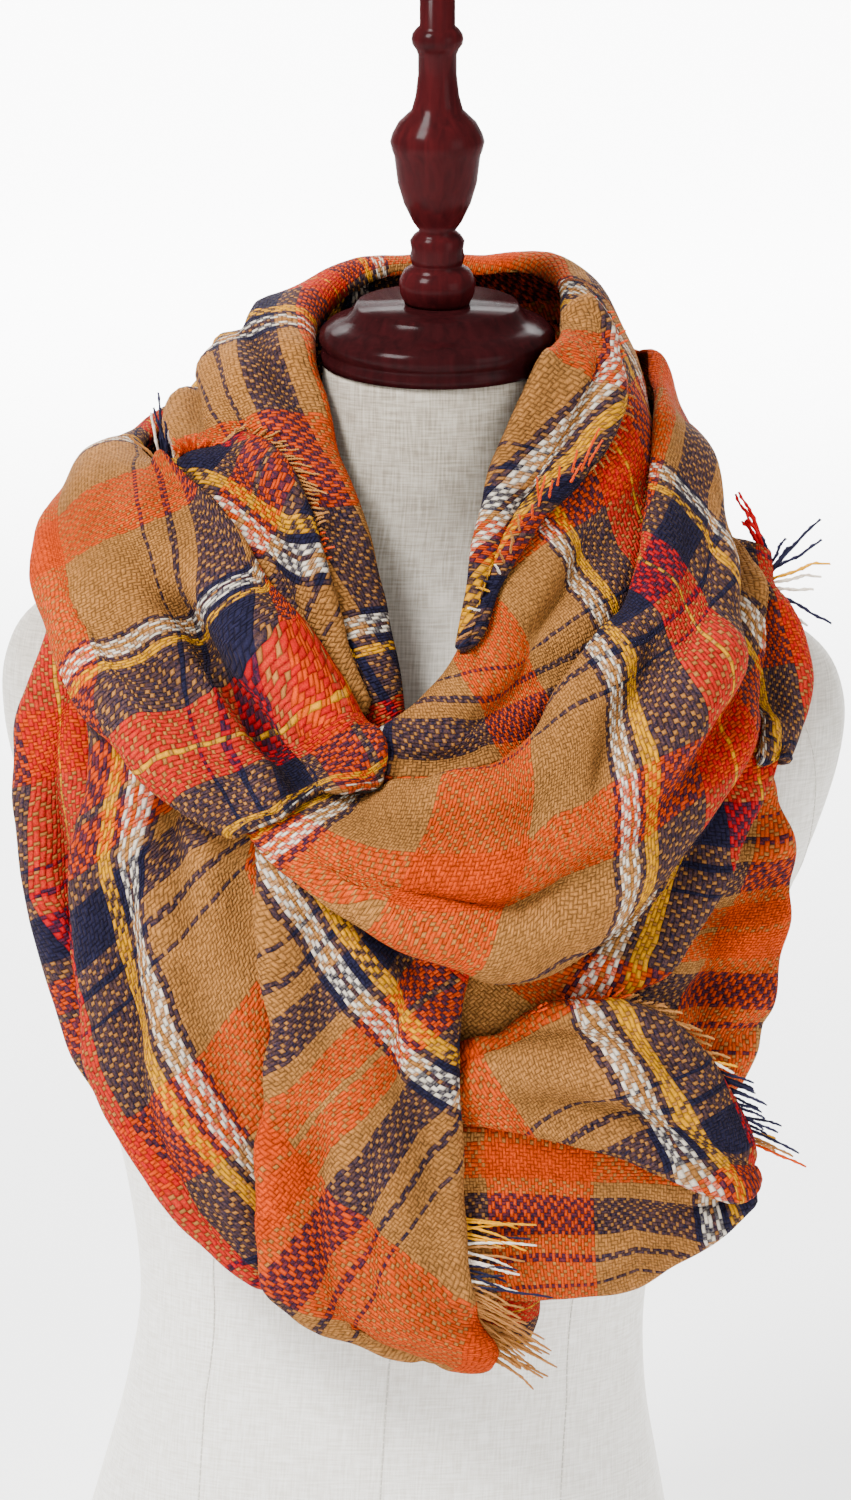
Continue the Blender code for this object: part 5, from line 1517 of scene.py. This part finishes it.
def turned_piece(name, profile_points, finish):
    """A turned piece on the neck's leaning axis, closed at both ends."""
    outline = [(0.0, profile_points[0][1])] + [p for p in profile_points if p[0] > 0] + [(0.0, profile_points[-1][1])]
    bm = bmesh.new()
    rings = [[bm.verts.new(turned_point(radius, height, 2 * math.pi * k / TURN_STEPS) * MM) for k in range(TURN_STEPS)]
             for radius, height in outline]
    for line, following in zip(rings, rings[1:]):
        for k in range(TURN_STEPS):
            after = (k + 1) % TURN_STEPS
            bm.faces.new((line[k], line[after], following[after], following[k]))
    bmesh.ops.remove_doubles(bm, verts=bm.verts, dist=WELD)
    bmesh.ops.recalc_face_normals(bm, faces=bm.faces)
    mesh = bpy.data.meshes.new(name)
    bm.to_mesh(mesh)
    bm.free()
    smoothed(mesh)
    return shown(name, mesh, finish)


# ---- the whole ----

def cloth_pieces(finish, yarn_finish):
    """The scarf: its frayed edges, then each run of cloth with them on it."""
    parts, folds, walls = fine_parts(laid_stretches())
    tree = yarn_tree(yarn_finish)
    frays = {}
    for name, fray in FRAYS.items():
        frayed = frayed_piece(name, fray, parts[fray.stretch], walls, tree, yarn_finish)
        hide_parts(name)
        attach(frayed, "root")
        frays.setdefault(fray.stretch, []).append(frayed)
    for run, (grid, places) in fine_cloth(parts, folds).items():
        mesh = grid_mesh(run, grid)
        mesh.attributes.new("plaid", "FLOAT_VECTOR", "POINT").data.foreach_set("vector", places.reshape(-1))
        piece = shown(run, mesh, finish)
        wall = piece.modifiers.new("Wall", "SOLIDIFY")
        wall.thickness = SHEET * MM
        wall.offset = 0
        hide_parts(*RUNS[run])
        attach(piece, "root")


# Each light's place, the point that it faces, its width and height in metres, and its power in watts.
LIGHTS = {
    "key": ((-1.45, -1.35, 2.45), (0, 0, 0.5), (0.9, 0.9), 185),
    "fill": ((1.9, -1.6, 1.1), (0, 0, 0.5), (1.2, 1.6), 22),
    "rim": ((0.2, 2.0, 2.4), (0, 0, 0.6), (2.0, 0.8), 45),
    "backdrop_near": ((0, 5.0, 4.0), (0, 5.6, 0), (6.0, 2.0), 800),
    "backdrop_far": ((0, 8.0, 7.0), (0, 11.5, 1.5), (9.0, 4.0), 5200),
}
AIR_LIGHT = 0.75
# The floor in metres: half its width, how far it runs in front and behind, and the backdrop's curve and top.
FLOOR_HALF, FLOOR_FRONT, FLOOR_BACK, BACKDROP_CURVE, BACKDROP_TOP = 16.0, -12.0, 10.0, 3.0, 9.0
SENSOR = 36.0


def studio():
    """A pale floor that curves up into a backdrop, soft light and the camera of the front view."""
    curve = [math.radians(a) for a in range(6, 91, 6)]
    profile = [(FLOOR_FRONT, 0.0), (FLOOR_BACK, 0.0)]
    profile += [(FLOOR_BACK + BACKDROP_CURVE * math.sin(a), BACKDROP_CURVE - BACKDROP_CURVE * math.cos(a))
                for a in curve]
    profile += [(FLOOR_BACK + BACKDROP_CURVE, BACKDROP_TOP)]
    mesh = bpy.data.meshes.new("studio_floor")
    mesh.from_pydata([(x, y, z) for y, z in profile for x in (-FLOOR_HALF, FLOOR_HALF)], [],
                     [(2 * k, 2 * k + 1, 2 * k + 3, 2 * k + 2) for k in range(len(profile) - 1)])
    smoothed(mesh)
    floor_finish = new_material("pale_floor", Base_Color=linear("#FDFDFD"), Roughness=0.9, Specular_IOR_Level=0.1)[0]
    shown("studio_floor", mesh, floor_finish)
    for name, (place, aim, size, power_watts) in LIGHTS.items():
        lamp = bpy.data.lights.new(name, "AREA")
        lamp.shape = "RECTANGLE"
        lamp.size, lamp.size_y = size
        lamp.energy = power_watts
        thing = linked(name, lamp)
        thing.location = place
        thing.rotation_euler = (Vector(aim) - Vector(place)).to_track_quat("-Z", "Y").to_euler()
    world = bpy.data.worlds.new("studio_air")
    world.use_nodes = True
    air = world.node_tree.nodes["Background"].inputs
    air["Color"].default_value = (1, 1, 1, 1)
    air["Strength"].default_value = AIR_LIGHT
    bpy.context.scene.world = world
    camera = bpy.data.cameras.new("front_view")
    camera.sensor_width = SENSOR
    camera.lens = SENSOR * VIEW_DISTANCE / VIEW_HEIGHT
    camera.clip_end = 50
    thing = linked("front_view", camera)
    centre, _, towards = view_frame()
    thing.location = centre * MM + towards * (VIEW_DISTANCE * MM)
    thing.rotation_euler = (math.pi / 2 - VIEW_ELEVATION, 0, 0)
    bpy.context.scene.camera = thing


# Each turned piece: its node, its material, its outline and the dark and light of its wood.
WOODS = {
    "cap_wood": ("neck_cap", "varnished_mahogany_cap", CAP_PROFILE, "#180708", "#2C0C0E"),
    "finial_wood": ("finial", "varnished_mahogany_fin", FINIAL_PROFILE, "#240A0C", "#3F1012"),
}

studio()
torso = form_piece(linen_cover())
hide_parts("form_body")
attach(torso, "root")
seams = seam_piece(wall_of(form_grid(6, 4), 0), sewing_thread())
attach(seams, "root")
for name, (node, wood_name, outline, dark, light) in WOODS.items():
    wood = turned_piece(name, outline, varnished_mahogany(wood_name, dark, light))
    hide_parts(node)
    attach(wood, "root")
cloth_pieces(plaid_cloth(), yarn_ends_finish())
